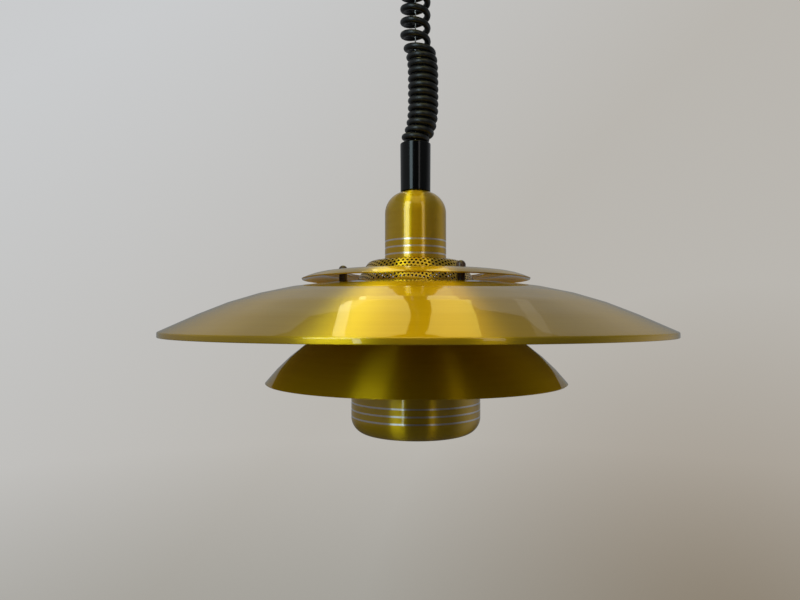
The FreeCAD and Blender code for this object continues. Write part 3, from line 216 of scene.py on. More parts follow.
def rounded(points, rounds):
    """The line with each inner corner turned into an arc. An arc of radius R starts R / tan(half the
    corner's angle) before the corner, and its centre lies R / sin(half) along the corner's bisector."""
    points = np.asarray(points, float)
    pieces = [points[:1]]
    for before, corner, after, radius in zip(points, points[1:], points[2:], rounds):
        if radius <= 0:
            pieces.append(corner[None])
            continue
        one, two = directions(np.array([before, corner, after])) * [[-1], [1]]
        half = math.acos(np.clip(one @ two, -1, 1)) / 2
        middle = (one + two) / np.linalg.norm(one + two)
        centre = corner + middle * radius / math.sin(half)
        start = corner + one * radius / math.tan(half) - centre
        turn = math.pi - 2 * half
        count = max(2, int(math.ceil(turn / ARC_STEP)) + 1)
        sign = math.copysign(1.0, np.linalg.det(np.array([-one, two])))
        share = np.linspace(0.0, turn, count) * sign
        x = start[0] * np.cos(share) - start[1] * np.sin(share)
        y = start[0] * np.sin(share) + start[1] * np.cos(share)
        pieces.append(centre + np.stack([x, y], axis=1))
    pieces.append(points[-1:])
    return np.vstack(pieces)


def rounded_loop(corners, rounds):
    """The closed line with each of its corners turned into an arc."""
    return rounded([corners[-1], *corners, corners[0]], rounds)[1:-1]


def half_round(outer_end, inner_end, way):
    """The sheet's end: half a circle from the outer face to the inner one, as wide as the sheet is
    thick, whose furthest point lies on the sheet's edge."""
    across = outer_end - inner_end
    radius = np.linalg.norm(across) / 2
    centre = (outer_end + inner_end) / 2 - way * radius
    share = np.linspace(0.0, math.pi, END_POINTS)[:, None]
    return centre + across / 2 * np.cos(share) + way * radius * np.sin(share)


def sheet_section(points, rounds, wall, lines=()):
    """Closed section of a spun sheet: the outer line with rounded corners, the same line moved by the
    wall on its right-hand side, and a half round at each end. lines are the corners of turned lines,
    which go into the outer face before its last point."""
    points = np.asarray(points, float)
    rounds = np.asarray(rounds, float)
    lines = np.reshape(lines, (-1, 2))
    inner = shifted(points, -wall)
    ways = directions(points)
    turn = ways[:-1, 0] * ways[1:, 1] - ways[:-1, 1] * ways[1:, 0]
    inner_rounds = np.where(rounds > 0, np.maximum(rounds + np.where(turn < 0, -wall, wall), 0.0), 0.0)
    corners = np.vstack([points[:-1], lines, points[-1:]])
    outer = rounded(corners, [*rounds, *np.zeros(len(lines))])[1:-1]
    end = half_round(points[-1], inner[-1], ways[-1])
    inside = rounded(inner[::-1], inner_rounds[::-1])[1:-1]
    return np.vstack([outer, end, inside, half_round(inner[0], points[0], -ways[0])])


def densified(section, groups, longest):
    """The closed section with its long runs divided evenly, so that none is longer than the limit, and
    the material number of each run."""
    following = np.roll(section, -1, axis=0)
    runs = np.linalg.norm(following - section, axis=1)
    counts = np.maximum(1, np.ceil(runs / longest).astype(int))
    index = np.repeat(np.arange(len(section)), counts)
    first = np.repeat(np.cumsum(counts) - counts, counts)
    share = ((np.arange(counts.sum()) - first) / counts[index])[:, None]
    return section[index] * (1 - share) + following[index] * share, groups[index]


def line_marks(line):
    """The length along the line up to each of its points."""
    return np.concatenate([[0.0], np.cumsum(np.linalg.norm(np.diff(line, axis=0), axis=1))])


def loop_marks(section):
    """The same for a closed line, with its whole length last."""
    return line_marks(np.vstack([section, section[:1]]))


def corner_directions(line):
    """Unit vectors along the line at its points, halfway between the runs on both sides."""
    ways = directions(line)
    both = np.vstack([ways[:1], ways[:-1] + ways[1:], ways[-1:]])
    return both / np.linalg.norm(both, axis=1)[:, None]


def along_line(line, distance):
    """Points and left-hand normals at distances along a line, with its directions blended along it."""
    table = np.hstack([line, corner_directions(line)])
    found = np.stack([np.interp(distance, line_marks(line), column) for column in table.T], axis=1)
    way = found[:, 2:] / np.linalg.norm(found[:, 2:], axis=1)[:, None]
    return found[:, :2], left_of(way)


# ---- meshes --------------------------------------------------------------------------------------
def net(numbers, along):
    """Faces and UVs between rows of point numbers, where the first row also follows the last one. U
    comes from along, the length up to each column, and V is the share of the rows."""
    after = np.roll(numbers, -1, axis=0)
    faces = np.stack([numbers[:, :-1], after[:, :-1], after[:, 1:], numbers[:, 1:]], axis=-1)
    row = np.arange(len(numbers))[:, None]
    u = np.stack([along[:-1], along[:-1], along[1:], along[1:]], axis=-1)
    v = np.stack([row, row + 1, row + 1, row], axis=-1) / len(numbers)
    uvs = np.stack(np.broadcast_arrays(u, v), axis=-1)
    return faces.reshape(-1, 4), uvs.reshape(-1, 4, 2)


def spun(r, z, segments, along):
    """Points, faces and UVs of a section spun round the axis: copy k stands at the angle 2 pi k /
    segments, and a section point (r, z) becomes (r cos, r sin, z). r may have a row for each copy. The
    section is closed where along has one length more than there are points."""
    turn = round_angles(segments)[:, None]
    points = np.stack(np.broadcast_arrays(np.cos(turn) * r, np.sin(turn) * r, z), axis=-1)
    numbers = np.arange(segments * len(z)).reshape(segments, -1)
    if len(along) > len(z):
        numbers = np.hstack([numbers, numbers[:, :1]])
    return points.reshape(-1, 3), *net(numbers, along)


def merge_doubles(mesh, distance=MERGED, turn_outwards=False):
    """Joins points that lie on each other, which closes seams and poles."""
    work = bmesh.new()
    work.from_mesh(mesh)
    bmesh.ops.remove_doubles(work, verts=work.verts, dist=distance)
    bmesh.ops.dissolve_degenerate(work, dist=MERGED / 10, edges=work.edges)
    if turn_outwards:
        bmesh.ops.recalc_face_normals(work, faces=work.faces)
    work.to_mesh(mesh)
    work.free()


def make_object(name, points, faces, uvs, groups=None, sharp=SHARP_DEGREES):
    """A mesh from whole arrays: points (n, 3), faces (m, 3 or 4), a UV for each face corner, and a
    material number for each face. Its faces are turned outwards where its signed volume, the sum of
    each face's corner products, is negative."""
    a, b, c, d = (points[faces[:, k]] for k in (0, 1, 2, -1))
    if np.einsum("ij,ij->i", a, np.cross(b, c) + np.cross(c, d)).sum() < 0:
        faces, uvs = faces[:, ::-1], uvs[:, ::-1]
    mesh = bpy.data.meshes.new(name)
    mesh.vertices.add(len(points))
    mesh.vertices.foreach_set("co", points.astype(np.float32).ravel())
    mesh.loops.add(faces.size)
    mesh.loops.foreach_set("vertex_index", faces.astype(np.int32).ravel())
    mesh.polygons.add(len(faces))
    mesh.polygons.foreach_set("loop_start", np.arange(0, faces.size, faces.shape[1], dtype=np.int32))
    mesh.update(calc_edges=True)
    layer = mesh.uv_layers.new(name=UV_NAME)
    layer.data.foreach_set("uv", uvs.astype(np.float32).ravel())
    if groups is not None:
        mesh.polygons.foreach_set("material_index", groups.astype(np.int32))
    merge_doubles(mesh)
    mesh.polygons.foreach_set("use_smooth", np.ones(len(mesh.polygons), bool))
    mesh.set_sharp_from_angle(angle=math.radians(sharp))
    thing = bpy.data.objects.new(name, mesh)
    bpy.context.scene.collection.objects.link(thing)
    return thing


def spin(name, section, segments, longest=LONG_RUN, groups=None, base=RIM_Z):
    """A spun piece, at a height above the frame's zero. groups has a material number for each run."""
    groups = np.zeros(len(section), int) if groups is None else groups
    dense, groups = densified(section, groups, longest)
    points, faces, uvs = spun(*dense.T, segments, loop_marks(dense))
    points[:, 2] += base
    return make_object(name, points, faces, uvs, np.tile(groups, segments))


def dress(thing, node, slot, *others):
    """Gives a piece of the lamp the finish of its record slot, and others after it, and lets it stand
    for a node of the frame."""
    for name in (slot.replace("_", " "), *others):
        thing.data.materials.append(material(name))
    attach(thing, "lamp")
    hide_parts(node)


# ---- finishes ------------------------------------------------------------------------------------
class Nodes:
    """Short words for building the nodes of one material or world."""

    def __init__(self, name, kind="materials", shader="Principled BSDF"):
        self.owner = getattr(bpy.data, kind).new(name)
        self.owner.use_nodes = True
        self.tree = self.owner.node_tree
        self.shader = self.tree.nodes[shader]

    def put(self, socket, value):
        """Links a socket to another one, or sets it; colours are given without their alpha."""
        if isinstance(value, bpy.types.NodeSocket):
            self.tree.links.new(value, socket)
        else:
            socket.default_value = (*value, 1.0) if socket.type == "RGBA" else value

    def node(self, kind, *placed, operation=None, **named):
        """A node with its inputs set by their place or by their name."""
        made = self.tree.nodes.new("ShaderNode" + kind)
        if operation:
            made.operation = operation
        for socket, value in zip(made.inputs, placed):
            self.put(socket, value)
        for key, value in named.items():
            self.put(made.inputs[key.replace("_", " ")], value)
        return made

    def maths(self, operation, first, second=0.0):
        return self.node("Math", first, second, operation=operation).outputs[0]

    def weighted(self, one, weight, two, other=1.0):
        """weight x one + other x two"""
        return self.maths("ADD", self.maths("MULTIPLY", one, weight), self.maths("MULTIPLY", two, other))

    def between(self, share, low, high):
        """low + share x (high - low)"""
        return self.maths("ADD", low, self.maths("MULTIPLY", share, self.maths("SUBTRACT", high, low)))

    def vector(self, operation, *placed, **named):
        return self.node("VectorMath", *placed, operation=operation, **named).outputs[0]

    def distance(self, place, point):
        return self.node("VectorMath", place, point, operation="DISTANCE").outputs["Value"]

    def noise(self, place, scale, detail=3.0, roughness=0.55):
        made = self.node("TexNoise", Vector=place, Scale=scale, Detail=detail, Roughness=roughness)
        return made.outputs["Fac"]

    def span(self, value, low, high, start=0.3, end=0.7):
        """Carries a value from start..end to low..high."""
        return self.node("MapRange", value, start, end, low, high).outputs["Result"]

    def tones(self, value, one, two, start=0.3, end=0.7):
        """Carries a value from start..end to the colours from one to two."""
        made = self.tree.nodes.new("ShaderNodeMix")
        made.data_type = "RGBA"
        share = self.span(value, 0.0, 1.0, start, end)
        for place, given in ((0, share), (6, one), (7, two)):
            self.put(made.inputs[place], given)
        return made.outputs[2]

    def bump(self, height, distance):
        return self.node("Bump", Strength=1.0, Distance=distance, Height=height).outputs["Normal"]

    def place(self):
        return self.node("TexCoord").outputs["Object"]

    def uv(self):
        made = self.node("UVMap")
        made.uv_map = UV_NAME
        return self.node("SeparateXYZ", made.outputs["UV"]).outputs[:2]

    def round_axis(self, around, along):
        """Coordinates for marks left by turning: the point's direction from the axis times around, and
        the length along the section times along. Long marks run round the axis, with no seam."""
        flat = self.vector("MULTIPLY", self.place(), (1.0, 1.0, 0.0))
        ring = self.vector("SCALE", self.vector("NORMALIZE", flat), Scale=around)
        lift = self.node("CombineXYZ", Z=self.maths("MULTIPLY", self.uv()[0], along))
        return self.vector("ADD", ring, lift.outputs["Vector"])

    def set(self, **values):
        """Sets the shader's inputs, and gives back the material or world."""
        for key, value in values.items():
            self.put(self.shader.inputs[key.replace("_", " ")], value)
        return self.owner


DYED = 0.88
EDGE_TINT = (1.0, 0.80, 0.12)
WHITE = (1.0, 1.0, 1.0)
FINE_MARKS = (3.0, 1500.0)
BROAD_MARKS = (1.6, 260.0)
STRANDS = 6.0
LAY_TURNS = 180.0
STRAND_DEPTH = 0.07


def spun_metal(name, light, deep, roughness, streak, metallic=DYED, edge=EDGE_TINT):
    """Lathe-turned sheet: fine marks round the axis in bump, roughness and colour, and highlights drawn
    out across the marks. The anodised layer scatters the rest of the light in the dye's colour."""
    n = Nodes(name)
    fine = n.noise(n.round_axis(*FINE_MARKS), 1.0, 4.0, 0.65)
    broad = n.noise(n.round_axis(*BROAD_MARKS), 1.0, 3.0, 0.6)
    cloud = n.noise(n.place(), 9.0, 3.0, 0.6)
    tangent = n.node("Tangent")
    tangent.direction_type = "UV_MAP"
    tangent.uv_map = UV_NAME
    return n.set(Base_Color=n.tones(n.weighted(broad, 0.6, cloud, 0.4), light, deep), Metallic=metallic,
                 Roughness=n.span(n.weighted(fine, 0.5, cloud, 0.5), roughness * 0.86, roughness * 1.18),
                 Anisotropic=1.0, Tangent=tangent.outputs["Tangent"], Specular_Tint=edge,
                 Normal=n.bump(n.weighted(fine, 0.45, broad), streak), Coat_Weight=1.0,
                 Coat_Roughness=0.035)


def moulding(name, tone, roughness, coat=0.0, ior=1.45):
    """Moulded plastic: a faint pebble in the bump, and worn patches that are a little glossier."""
    n = Nodes(name)
    pebble = n.noise(n.place(), 900.0, 3.0, 0.6)
    cloud = n.noise(n.place(), 14.0, 4.0, 0.6)
    lighter = [min(1.0, c * 1.35 + 0.0005) for c in tone]
    return n.set(Base_Color=n.tones(cloud, tone, lighter), Normal=n.bump(pebble, 0.00002), IOR=ior,
                 Roughness=n.span(cloud, roughness * 0.8, roughness * 1.25), Coat_Weight=coat,
                 Coat_Roughness=0.05)


def plated(name, tone, roughness):
    """Plated or plain metal of small parts: fine noise in roughness and bump, and darker patches."""
    n = Nodes(name)
    fine = n.noise(n.place(), 700.0, 4.0, 0.65)
    cloud = n.noise(n.place(), 40.0, 4.0, 0.6)
    return n.set(Base_Color=n.tones(cloud, tone, [0.72 * c for c in tone]), Metallic=1.0,
                 Roughness=n.span(fine, roughness * 0.75, roughness * 1.3), Normal=n.bump(fine, 0.00001))


def cord_sheath(name, tone):
    """Satin sheath: fine marks round the cord from its extrusion, and dust in faint patches."""
    n = Nodes(name)
    u, v = n.uv()
    spread = n.node("CombineXYZ", n.maths("MULTIPLY", u, 60.0), n.maths("MULTIPLY", v, 6.0))
    marks = n.noise(spread.outputs["Vector"], 4.0, 3.0, 0.6)
    cloud = n.noise(n.place(), 60.0, 3.0, 0.6)
    return n.set(Base_Color=n.tones(cloud, tone, [1.5 * c for c in tone]), Normal=n.bump(marks, 0.00003),
                 Roughness=n.span(cloud, 0.34, 0.46), Coat_Weight=0.06, Coat_Roughness=0.2)


def stranded_steel(name):
    """Steel rope: the lay of its strands as slanting bands, darker between them as painted shade in the
    grooves.
    """
    n = Nodes(name)
    u, v = n.uv()
    slant = n.weighted(u, LAY_TURNS, v)
    bands = n.maths("PINGPONG", n.maths("MULTIPLY", slant, STRANDS), 0.5)
    fine = n.noise(n.place(), 3000.0, 2.0, 0.5)
    # painted shade: the base colour is dark where the bands dip, in the grooves between the strands
    return n.set(Base_Color=n.tones(bands, (0.10, 0.10, 0.10), (0.55, 0.55, 0.54), 0.0, 0.3),
                 Metallic=1.0, Roughness=n.span(fine, 0.28, 0.45), Normal=n.bump(bands, 0.00006))


def nylon(name):
    """Natural nylon: milky, with light carried a little way under its surface."""
    n = Nodes(name)
    cloud = n.noise(n.place(), 30.0, 4.0, 0.6)
    return n.set(Base_Color=n.tones(cloud, (0.80, 0.79, 0.73), (0.72, 0.70, 0.62)),
                 Roughness=n.span(cloud, 0.35, 0.5), Subsurface_Weight=0.15, Subsurface_Scale=0.002,
                 Normal=n.bump(n.noise(n.place(), 800.0), 0.00002))


def glazed(name):
    """White glazed ceramic with small pits, which are darker as painted shade."""
    n = Nodes(name)
    pits = n.noise(n.place(), 500.0, 2.0, 0.5)
    # painted shade: the colour is darker where the pits dip
    return n.set(Base_Color=n.tones(pits, (0.5, 0.48, 0.44), (0.88, 0.86, 0.82), 0.2, 0.35),
                 Roughness=n.span(n.noise(n.place(), 60.0), 0.15, 0.3), Normal=n.bump(pits, 0.00002),
                 Coat_Weight=0.6, Coat_Roughness=0.06)


def fibre(name):
    """Pressed brown friction fibre, flecked and rough."""
    n = Nodes(name)
    fleck = n.noise(n.place(), 1200.0, 4.0, 0.7)
    return n.set(Base_Color=n.tones(fleck, (0.20, 0.12, 0.07), (0.38, 0.27, 0.17)), Roughness=0.85,
                 Normal=n.bump(fleck, 0.00008))


def material(name):
    """A finish by its name, made once. Those of the record's slots come first, under the slots' names;
    the rest are for pieces or faces that are drawn anew."""
    f = sizes("finishes")
    cut_shade = [0.93 * c for c in f.aluminium]
    make, *values = {
        "spun gold": (spun_metal, f.gold, f.gold_deep, 0.42, 0.000006),
        "black plastic": (moulding, f.tube, 0.13, 0.0, 1.40),
        "cord black": (moulding, f.cord, 0.42),
        "brown plastic": (moulding, f.brown, 0.30, 0.3),
        "holder plastic": (moulding, (0.030, 0.027, 0.024), 0.38),
        "nylon": (nylon,),
        "steel": (plated, (0.62, 0.63, 0.64), 0.30),
        "wire steel": (plated, (0.50, 0.51, 0.52), 0.35),
        "spring steel": (plated, (0.25, 0.27, 0.32), 0.28),
        "brass": (plated, (0.80, 0.60, 0.28), 0.22),
        "ceramic": (glazed,),
        "friction pad": (fibre,),
        "core sleeve": (moulding, (0.22, 0.13, 0.07), 0.45),
        "bright cut line": (spun_metal, f.aluminium, cut_shade, 0.4, 0.00001, 1.0, WHITE),
        # painted shade: a dark brown metal on the cage's inner face and vent walls stands in for the
        # shade inside the cage
        "cage inner painted shade": (plated, (0.055, 0.024, 0.008), 0.5),
        "cord sheath": (cord_sheath, f.cord),
        "stranded steel": (stranded_steel,),
    }[name]
    return bpy.data.materials.get(name) or make(name, *values)


class PENDANT_OT_fittings(bpy.types.Operator):
    """Finishes on all the pieces that keep the frame's own shape"""
    bl_idname = "pendant.fittings"
    bl_label = "Fittings' finishes"

    def execute(self, context):
        for part in frame["record"]["subparts"]:
            materials = frame["nodes"][part["node"]].data.materials
            materials.clear()
            materials.append(material(part["material_slot"].replace("_", " ")))
        return {"FINISHED"}


# ---- cord and wire -------------------------------------------------------------------------------
CORD_TOP = -0.097
CORD_END = -0.2965
CORD_SIDES = 16
CORD_STEPS = 3
END_RING = 0.7
CURL_TOP = -0.113
CURL_LOW = -0.2814
CURL_END_ANGLE = math.radians(300.0)
OPEN_TURNS = 6.0
CLOSED_TURNS = 12.0
POINTS_PER_TURN = 24
HALF_TURN_POINTS = POINTS_PER_TURN // 2 - 2
BOW_SPAN = 0.1
TOP_BEND = 0.008
TAIL_RADIUS = 0.0065
TAIL_DROP = 0.0021
TAIL_BEND = 0.0064
CORNER = math.tan(math.radians(22.5))
UP = np.array([0.0, 0.0, 1.0])
WIRE_SIDES = 24
WIRE_POINTS = 12
WIRE_STEPS = 24
WIRE_SHARP_DEGREES = 80.0


def flat_way(turn):
    """Level unit vectors at angles."""
    turn = np.asarray(turn, float)
    return np.stack([np.cos(turn), np.sin(turn), np.zeros_like(turn)], axis=-1)


def bow(z):
    """How far the curls' axis stands aside: bow x (1 - (2 t - 1)^4), where t runs from 0 to 1 over the
    lower part of the cord."""
    share = np.clip((z - CURL_LOW) / BOW_SPAN, 0.0, 1.0)
    return sizes("hanging").cord_bow * (1 - (2 * share - 1) ** 4)


def cord_route():
    """Control points of the cord: straight out of its grip, the curls as a helix whose pitch is wide for
    the open turns and narrow for the closed ones, half a turn on a smaller circle, and down. At a bend
    of radius R they lie R tan 22.5 degrees along the runs from where the bend starts."""
    hanging = sizes("hanging")
    radius = hanging.curl_radius
    turns = OPEN_TURNS + CLOSED_TURNS
    start_angle = CURL_END_ANGLE - FULL_TURN * turns
    out, on = flat_way(start_angle), flat_way(start_angle + math.pi / 2)
    near = TOP_BEND * (1 - CORNER)
    lead = out * radius + np.array([
        UP * CORD_TOP - on * TOP_BEND,
        UP * (CURL_TOP + near) - on * TOP_BEND,
        UP * CURL_TOP - on * (TOP_BEND - near),
    ])
    t = np.arange(0.5, turns * POINTS_PER_TURN) / POINTS_PER_TURN
    open_pitch = (CURL_TOP - CURL_LOW - CLOSED_TURNS * hanging.closed_pitch) / OPEN_TURNS
    z = CURL_TOP - open_pitch * np.minimum(t, OPEN_TURNS)
    z = z - hanging.closed_pitch * np.maximum(0.0, t - OPEN_TURNS)
    curls = flat_way(start_angle + FULL_TURN * t) * radius
    curls += np.stack([bow(z), np.zeros_like(z), z], axis=-1)
    half = np.arange(0.5, HALF_TURN_POINTS) / HALF_TURN_POINTS
    middle = flat_way(CURL_END_ANGLE) * (radius - TAIL_RADIUS) / 2
    tail = middle + flat_way(CURL_END_ANGLE + math.pi * half) * (radius + TAIL_RADIUS) / 2
    tail += np.outer(CURL_LOW - TAIL_DROP * half, UP)
    out, on = flat_way(CURL_END_ANGLE + math.pi), flat_way(CURL_END_ANGLE + 1.5 * math.pi)
    low = CURL_LOW - TAIL_DROP
    dive = out * TAIL_RADIUS + np.array([
        on * TAIL_BEND * CORNER + UP * low,
        on * TAIL_BEND + UP * (low - TAIL_BEND * (1 - CORNER)),
        on * TAIL_BEND + UP * CORD_END,
    ])
    return np.vstack([lead, curls, tail, dive])


def spline_points(points, steps):
    """The points along a smooth open line with these control points, and so many steps for each."""
    curve = bpy.data.curves.new("route", "CURVE")
    curve.dimensions = "3D"
    spline = curve.splines.new("NURBS")
    spline.points.add(len(points) - 1)
    spline.points.foreach_set("co", np.hstack([points, np.ones((len(points), 1))]).ravel())
    spline.order_u = 3
    spline.use_endpoint_u = True
    spline.resolution_u = steps
    carrier = bpy.data.objects.new("route", curve)
    line = bpy.data.meshes.new_from_object(carrier)
    found = np.zeros(len(line.vertices) * 3)
    line.vertices.foreach_get("co", found)
    bpy.data.objects.remove(carrier)
    bpy.data.meshes.remove(line)
    bpy.data.curves.remove(curve)
    return found.reshape(-1, 3)


def tube_round(path, radius, hint, sides, wave=0.0):
    """A round tube along a path. A point of the ring lies at radius x (cos a N + sin a B) from the path,
    where N is the hint less its part along the path, and B is the path's direction x N. A wave on the
    radius gives strands, whose lay turns along the path. Two smaller rings close each end. U is the
    length along the path in metres and V the share of the ring. Also gives the height of each point's
    ring centre."""
    way = np.gradient(path, axis=0)
    way /= np.linalg.norm(way, axis=1)[:, None]
    normal = hint - way * np.sum(hint * way, axis=1)[:, None]
    normal /= np.linalg.norm(normal, axis=1)[:, None]
    scale = np.concatenate([[0.0, END_RING], np.ones(len(path)), [END_RING, 0.0]])[:, None]
    index = np.pad(np.arange(len(path)), 2, mode="edge")
    along = line_marks(path)[index]
    turn = round_angles(sides)
    size = radius * scale * (1 + wave * np.cos(STRANDS * turn + FULL_TURN * LAY_TURNS * along[:, None]))
    cosine, sine = np.cos(turn)[None, :, None], np.sin(turn)[None, :, None]
    ring = cosine * normal[index][:, None] + sine * np.cross(way, normal)[index][:, None]
    points = (path[index][:, None] + ring * size[..., None]).reshape(-1, 3)
    numbers = np.arange(len(points)).reshape(-1, sides).T
    return (points, *net(numbers, along)), np.repeat(path[index][:, 2], sides)


def stretch(thing, heights, top, low):
    """Bakes the piece's place into its mesh, and cuts from the heights the points that were merged into
    one at each end. It doesn't stretch the piece: top and low are not used."""
    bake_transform(thing)
    merged = (len(heights) - len(thing.data.vertices)) // 2
    heights = heights[merged:len(heights) - merged]


def hang(name, tube, finish, node, ends, sharp=SHARP_DEGREES):
    """Makes a cord or a wire of a tube's arrays, gives it its finish and hides the node it stands for."""
    arrays, heights = tube
    thing = make_object(name, *arrays, sharp=sharp)
    thing.data.materials.append(material(finish))
    stretch(thing, heights, *ends)
    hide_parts(node)
    return thing


class PENDANT_OT_curly_cord(bpy.types.Operator):
    """The curly cord, its exit from the canopy and its tail in the tube"""
    bl_idname = "pendant.curly_cord"
    bl_label = "Curly cord"

    def execute(self, context):
        path = spline_points(cord_route(), CORD_STEPS)
        from_axis = path * [1.0, 1.0, 0.0]
        from_axis[:, 0] -= bow(path[:, 2])
        diameter = sizes("hanging").cord_diameter
        tube = tube_round(path, diameter / 2, from_axis, CORD_SIDES)
        cord = hang("curly_cord_sheath", tube, "cord sheath", "curly_cord",
                    (CORD_TOP, CORD_END))
        return {"FINISHED"}


class PENDANT_OT_suspension_wire(bpy.types.Operator):
    """The stranded steel wire from the drum down to the stirrup"""
    bl_idname = "pendant.suspension_wire"
    bl_label = "Suspension wire"

    def execute(self, context):
        low, high = (corner.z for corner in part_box("suspension_wire"))
        path = spline_points(np.outer(np.linspace(high, low, WIRE_POINTS), UP), WIRE_STEPS)
        diameter = sizes("hanging").wire_diameter
        hint = np.tile([1.0, 0.0, 0.0], (len(path), 1))
        tube = tube_round(path, diameter / 2 * (1 - STRAND_DEPTH), hint, WIRE_SIDES, STRAND_DEPTH)
        wire = hang("suspension_wire_strands", tube, "stranded steel", "suspension_wire",
                    (high, low), WIRE_SHARP_DEGREES)
        return {"FINISHED"}


# ---- spun tiers ----------------------------------------------------------------------------------
LINES = 3
PIPE_RADIUS = 5.1 * MM
NECK_GAP = 0.5 * MM


def main_top(s):
    """Height of the main shade's flat top: lip + slope's rise + crown's rise, R (1 - cos slope)."""
    crown_end = s.main_flat + s.main_crown * math.sin(s.main_angle)
    slope_rise = (s.main_radius - crown_end) * math.tan(s.main_angle)
    return s.main_lip + slope_rise + s.main_crown * (1 - math.cos(s.main_angle))


def lower_top(s):
    """Height of the lower shade's flange: the rim's drop less the crown's rise between its slopes."""
    return -s.lower_drop + s.lower_crown * (math.cos(s.lower_top_angle) - math.cos(s.lower_rim_angle))


def further(corner, reach, slope):
    """The point at a distance from a corner, down a slope."""
    return corner[0] + reach * math.cos(slope), corner[1] - reach * math.sin(slope)


def turned_lines(radius, heights, s, upward):
    """Corners of square grooves in an upright side, in the order that the line runs."""
    heights = heights if upward else heights[::-1]
    step = s.line_width / 2 if upward else -s.line_width / 2
    rise = np.array([-step, -step, step, step])
    depth = np.array([0.0, s.line_depth, s.line_depth, 0.0])
    return np.stack(np.broadcast_arrays(radius - depth, heights[:, None] + rise), axis=-1).reshape(-1, 2)


def tier(node, points, rounds, segments, longest=LONG_RUN):
    """A plain spun tier of the lamp, from the outer line of its sheet."""
    section = sheet_section(points, rounds, sizes("shades").sheet)
    dress(spin(node + "_spun", section, segments, longest), node, "spun_gold")


def lined(node, points, corner_round, wall, heights, segments, longest):
    """A spun piece with bright turned lines in its last side, which is upright. Runs of the section that
    lie in a groove get the second finish."""
    s = sizes("shades")
    (radius, before), (_, end) = points[-2:]
    section = sheet_section(points, [corner_round], wall, turned_lines(radius, heights, s, end > before))
    middle = (section + np.roll(section, -1, axis=0)) / 2
    near = np.abs(middle[:, 1][:, None] - heights).min(axis=1) < s.line_width / 2 + TINY
    cut = near & (middle[:, 0] > radius - s.line_depth - TINY) & (middle[:, 0] < radius - TINY)
    piece = spin(node + "_spun", section, segments, longest, cut.astype(int))
    dress(piece, node, "spun_gold", "bright cut line")


class PENDANT_OT_main_shade(bpy.types.Operator):
    """The large spun shade with its upright lip"""
    bl_idname = "pendant.main_shade"
    bl_label = "Main shade"

    def execute(self, context):
        s = sizes("shades")
        top = main_top(s)
        corner = s.main_flat + s.main_crown * math.tan(s.main_angle / 2)
        points = [(sizes("cage").base_radius + NECK_GAP, top), (corner, top), (s.main_radius, s.main_lip),
                  (s.main_radius, 0.0)]
        tier("main_shade", points, [s.main_crown, s.lip_round], segments=320)
        return {"FINISHED"}


class PENDANT_OT_top_ring(bpy.types.Operator):
    """The shallow spun disc above the main shade"""
    bl_idname = "pendant.top_ring"
    bl_label = "Top ring"

    def execute(self, context):
        s = sizes("shades")
        top = main_top(s) + s.ring_rise
        reach = s.ring_crown * math.tan(s.ring_angle / 2)
        corner = (s.ring_radius - s.ring_crown * math.sin(s.ring_angle) + reach, top)
        edge = further(corner, reach + OVERSHOOT, s.ring_angle)
        tier("top_ring", [(s.ring_hole, top), corner, edge], [s.ring_crown], segments=240, longest=0.004)
        return {"FINISHED"}


class PENDANT_OT_lower_shade(bpy.types.Operator):
    """The middle tier below the main shade"""
    bl_idname = "pendant.lower_shade"
    bl_label = "Lower shade"

    def execute(self, context):
        s = sizes("shades")
        start, end = s.lower_top_angle, s.lower_rim_angle
        flange = (s.lower_radius - s.lower_crown * (math.sin(end) - math.sin(start)), lower_top(s))
        reach = s.lower_crown * math.tan((end - start) / 2)
        corner = further(flange, reach, start)
        rim = further(corner, reach + OVERSHOOT, end)
        tier("lower_shade", [(s.lower_hole, flange[1]), flange, corner, rim], [0.0, s.lower_crown], 256)
        return {"FINISHED"}


class PENDANT_OT_cup(bpy.types.Operator):
    """The bottom cup with its three turned lines"""
    bl_idname = "pendant.cup"
    bl_label = "Bottom cup"

    def execute(self, context):
        s = sizes("shades")
        bottom = -s.cup_drop
        heights = bottom + s.cup_line + s.line_pitch * np.arange(LINES)
        points = [(s.cup_mouth, bottom), (s.cup_radius, bottom), (s.cup_radius, bottom + s.cup_height)]
        lined("cup", points, s.cup_round, -s.sheet, heights, segments=240, longest=0.004)
        return {"FINISHED"}


class PENDANT_OT_cap(bpy.types.Operator):
    """The bell-shaped cap with its three turned lines"""
    bl_idname = "pendant.cap"
    bl_label = "Cap"

    def execute(self, context):
        s = sizes("shades")
        low = sizes("cage").top
        high = low + s.cap_height
        heights = low + s.cap_line + s.line_pitch * np.arange(LINES)
        points = [(PIPE_RADIUS, high), (s.cap_radius, high), (s.cap_radius, low)]
        lined("cap", points, s.cap_round, s.sheet, heights, segments=192, longest=0.003)
        return {"FINISHED"}


# ---- vent cage -----------------------------------------------------------------------------------
VENT_SIDES = 12
VENT_START = 36.2 * MM
VENT_MARGIN = 0.7 * MM
ROW_STEP = math.sqrt(0.75)
CAGE_SEGMENTS = 180
CAGE_RINGS = 6
CAGE_BASE = 3
SHADE_GAP = 0.05 * MM
NECK_RISE = 0.6 * MM
INSIDE_U = 0.2
REST_U = 0.08
SAME_POINT = 1e-9


def cage_section():
    """Outer line of the cage from its hole to its flange, and the rounds of its corners."""
    c, s = sizes("cage"), sizes("shades")
    top = main_top(s)
    flange = top - s.sheet - SHADE_GAP
    crown = s.main_crown - s.sheet - SHADE_GAP
    slope = math.asin((c.flange_radius - s.main_flat) / crown)
    reach = crown * math.tan(slope / 2)
    corner = (s.main_flat + reach, flange)
    points = np.array([
        (c.hole, c.top), (c.top_radius, c.top), (c.shoulder_radius, c.shoulder_height),
        (c.base_radius, top + NECK_RISE), (c.base_radius, flange), corner, further(corner, reach, slope),
    ])
    return points, [0.0, c.shoulder_round, 0.0, 0.0, crown]


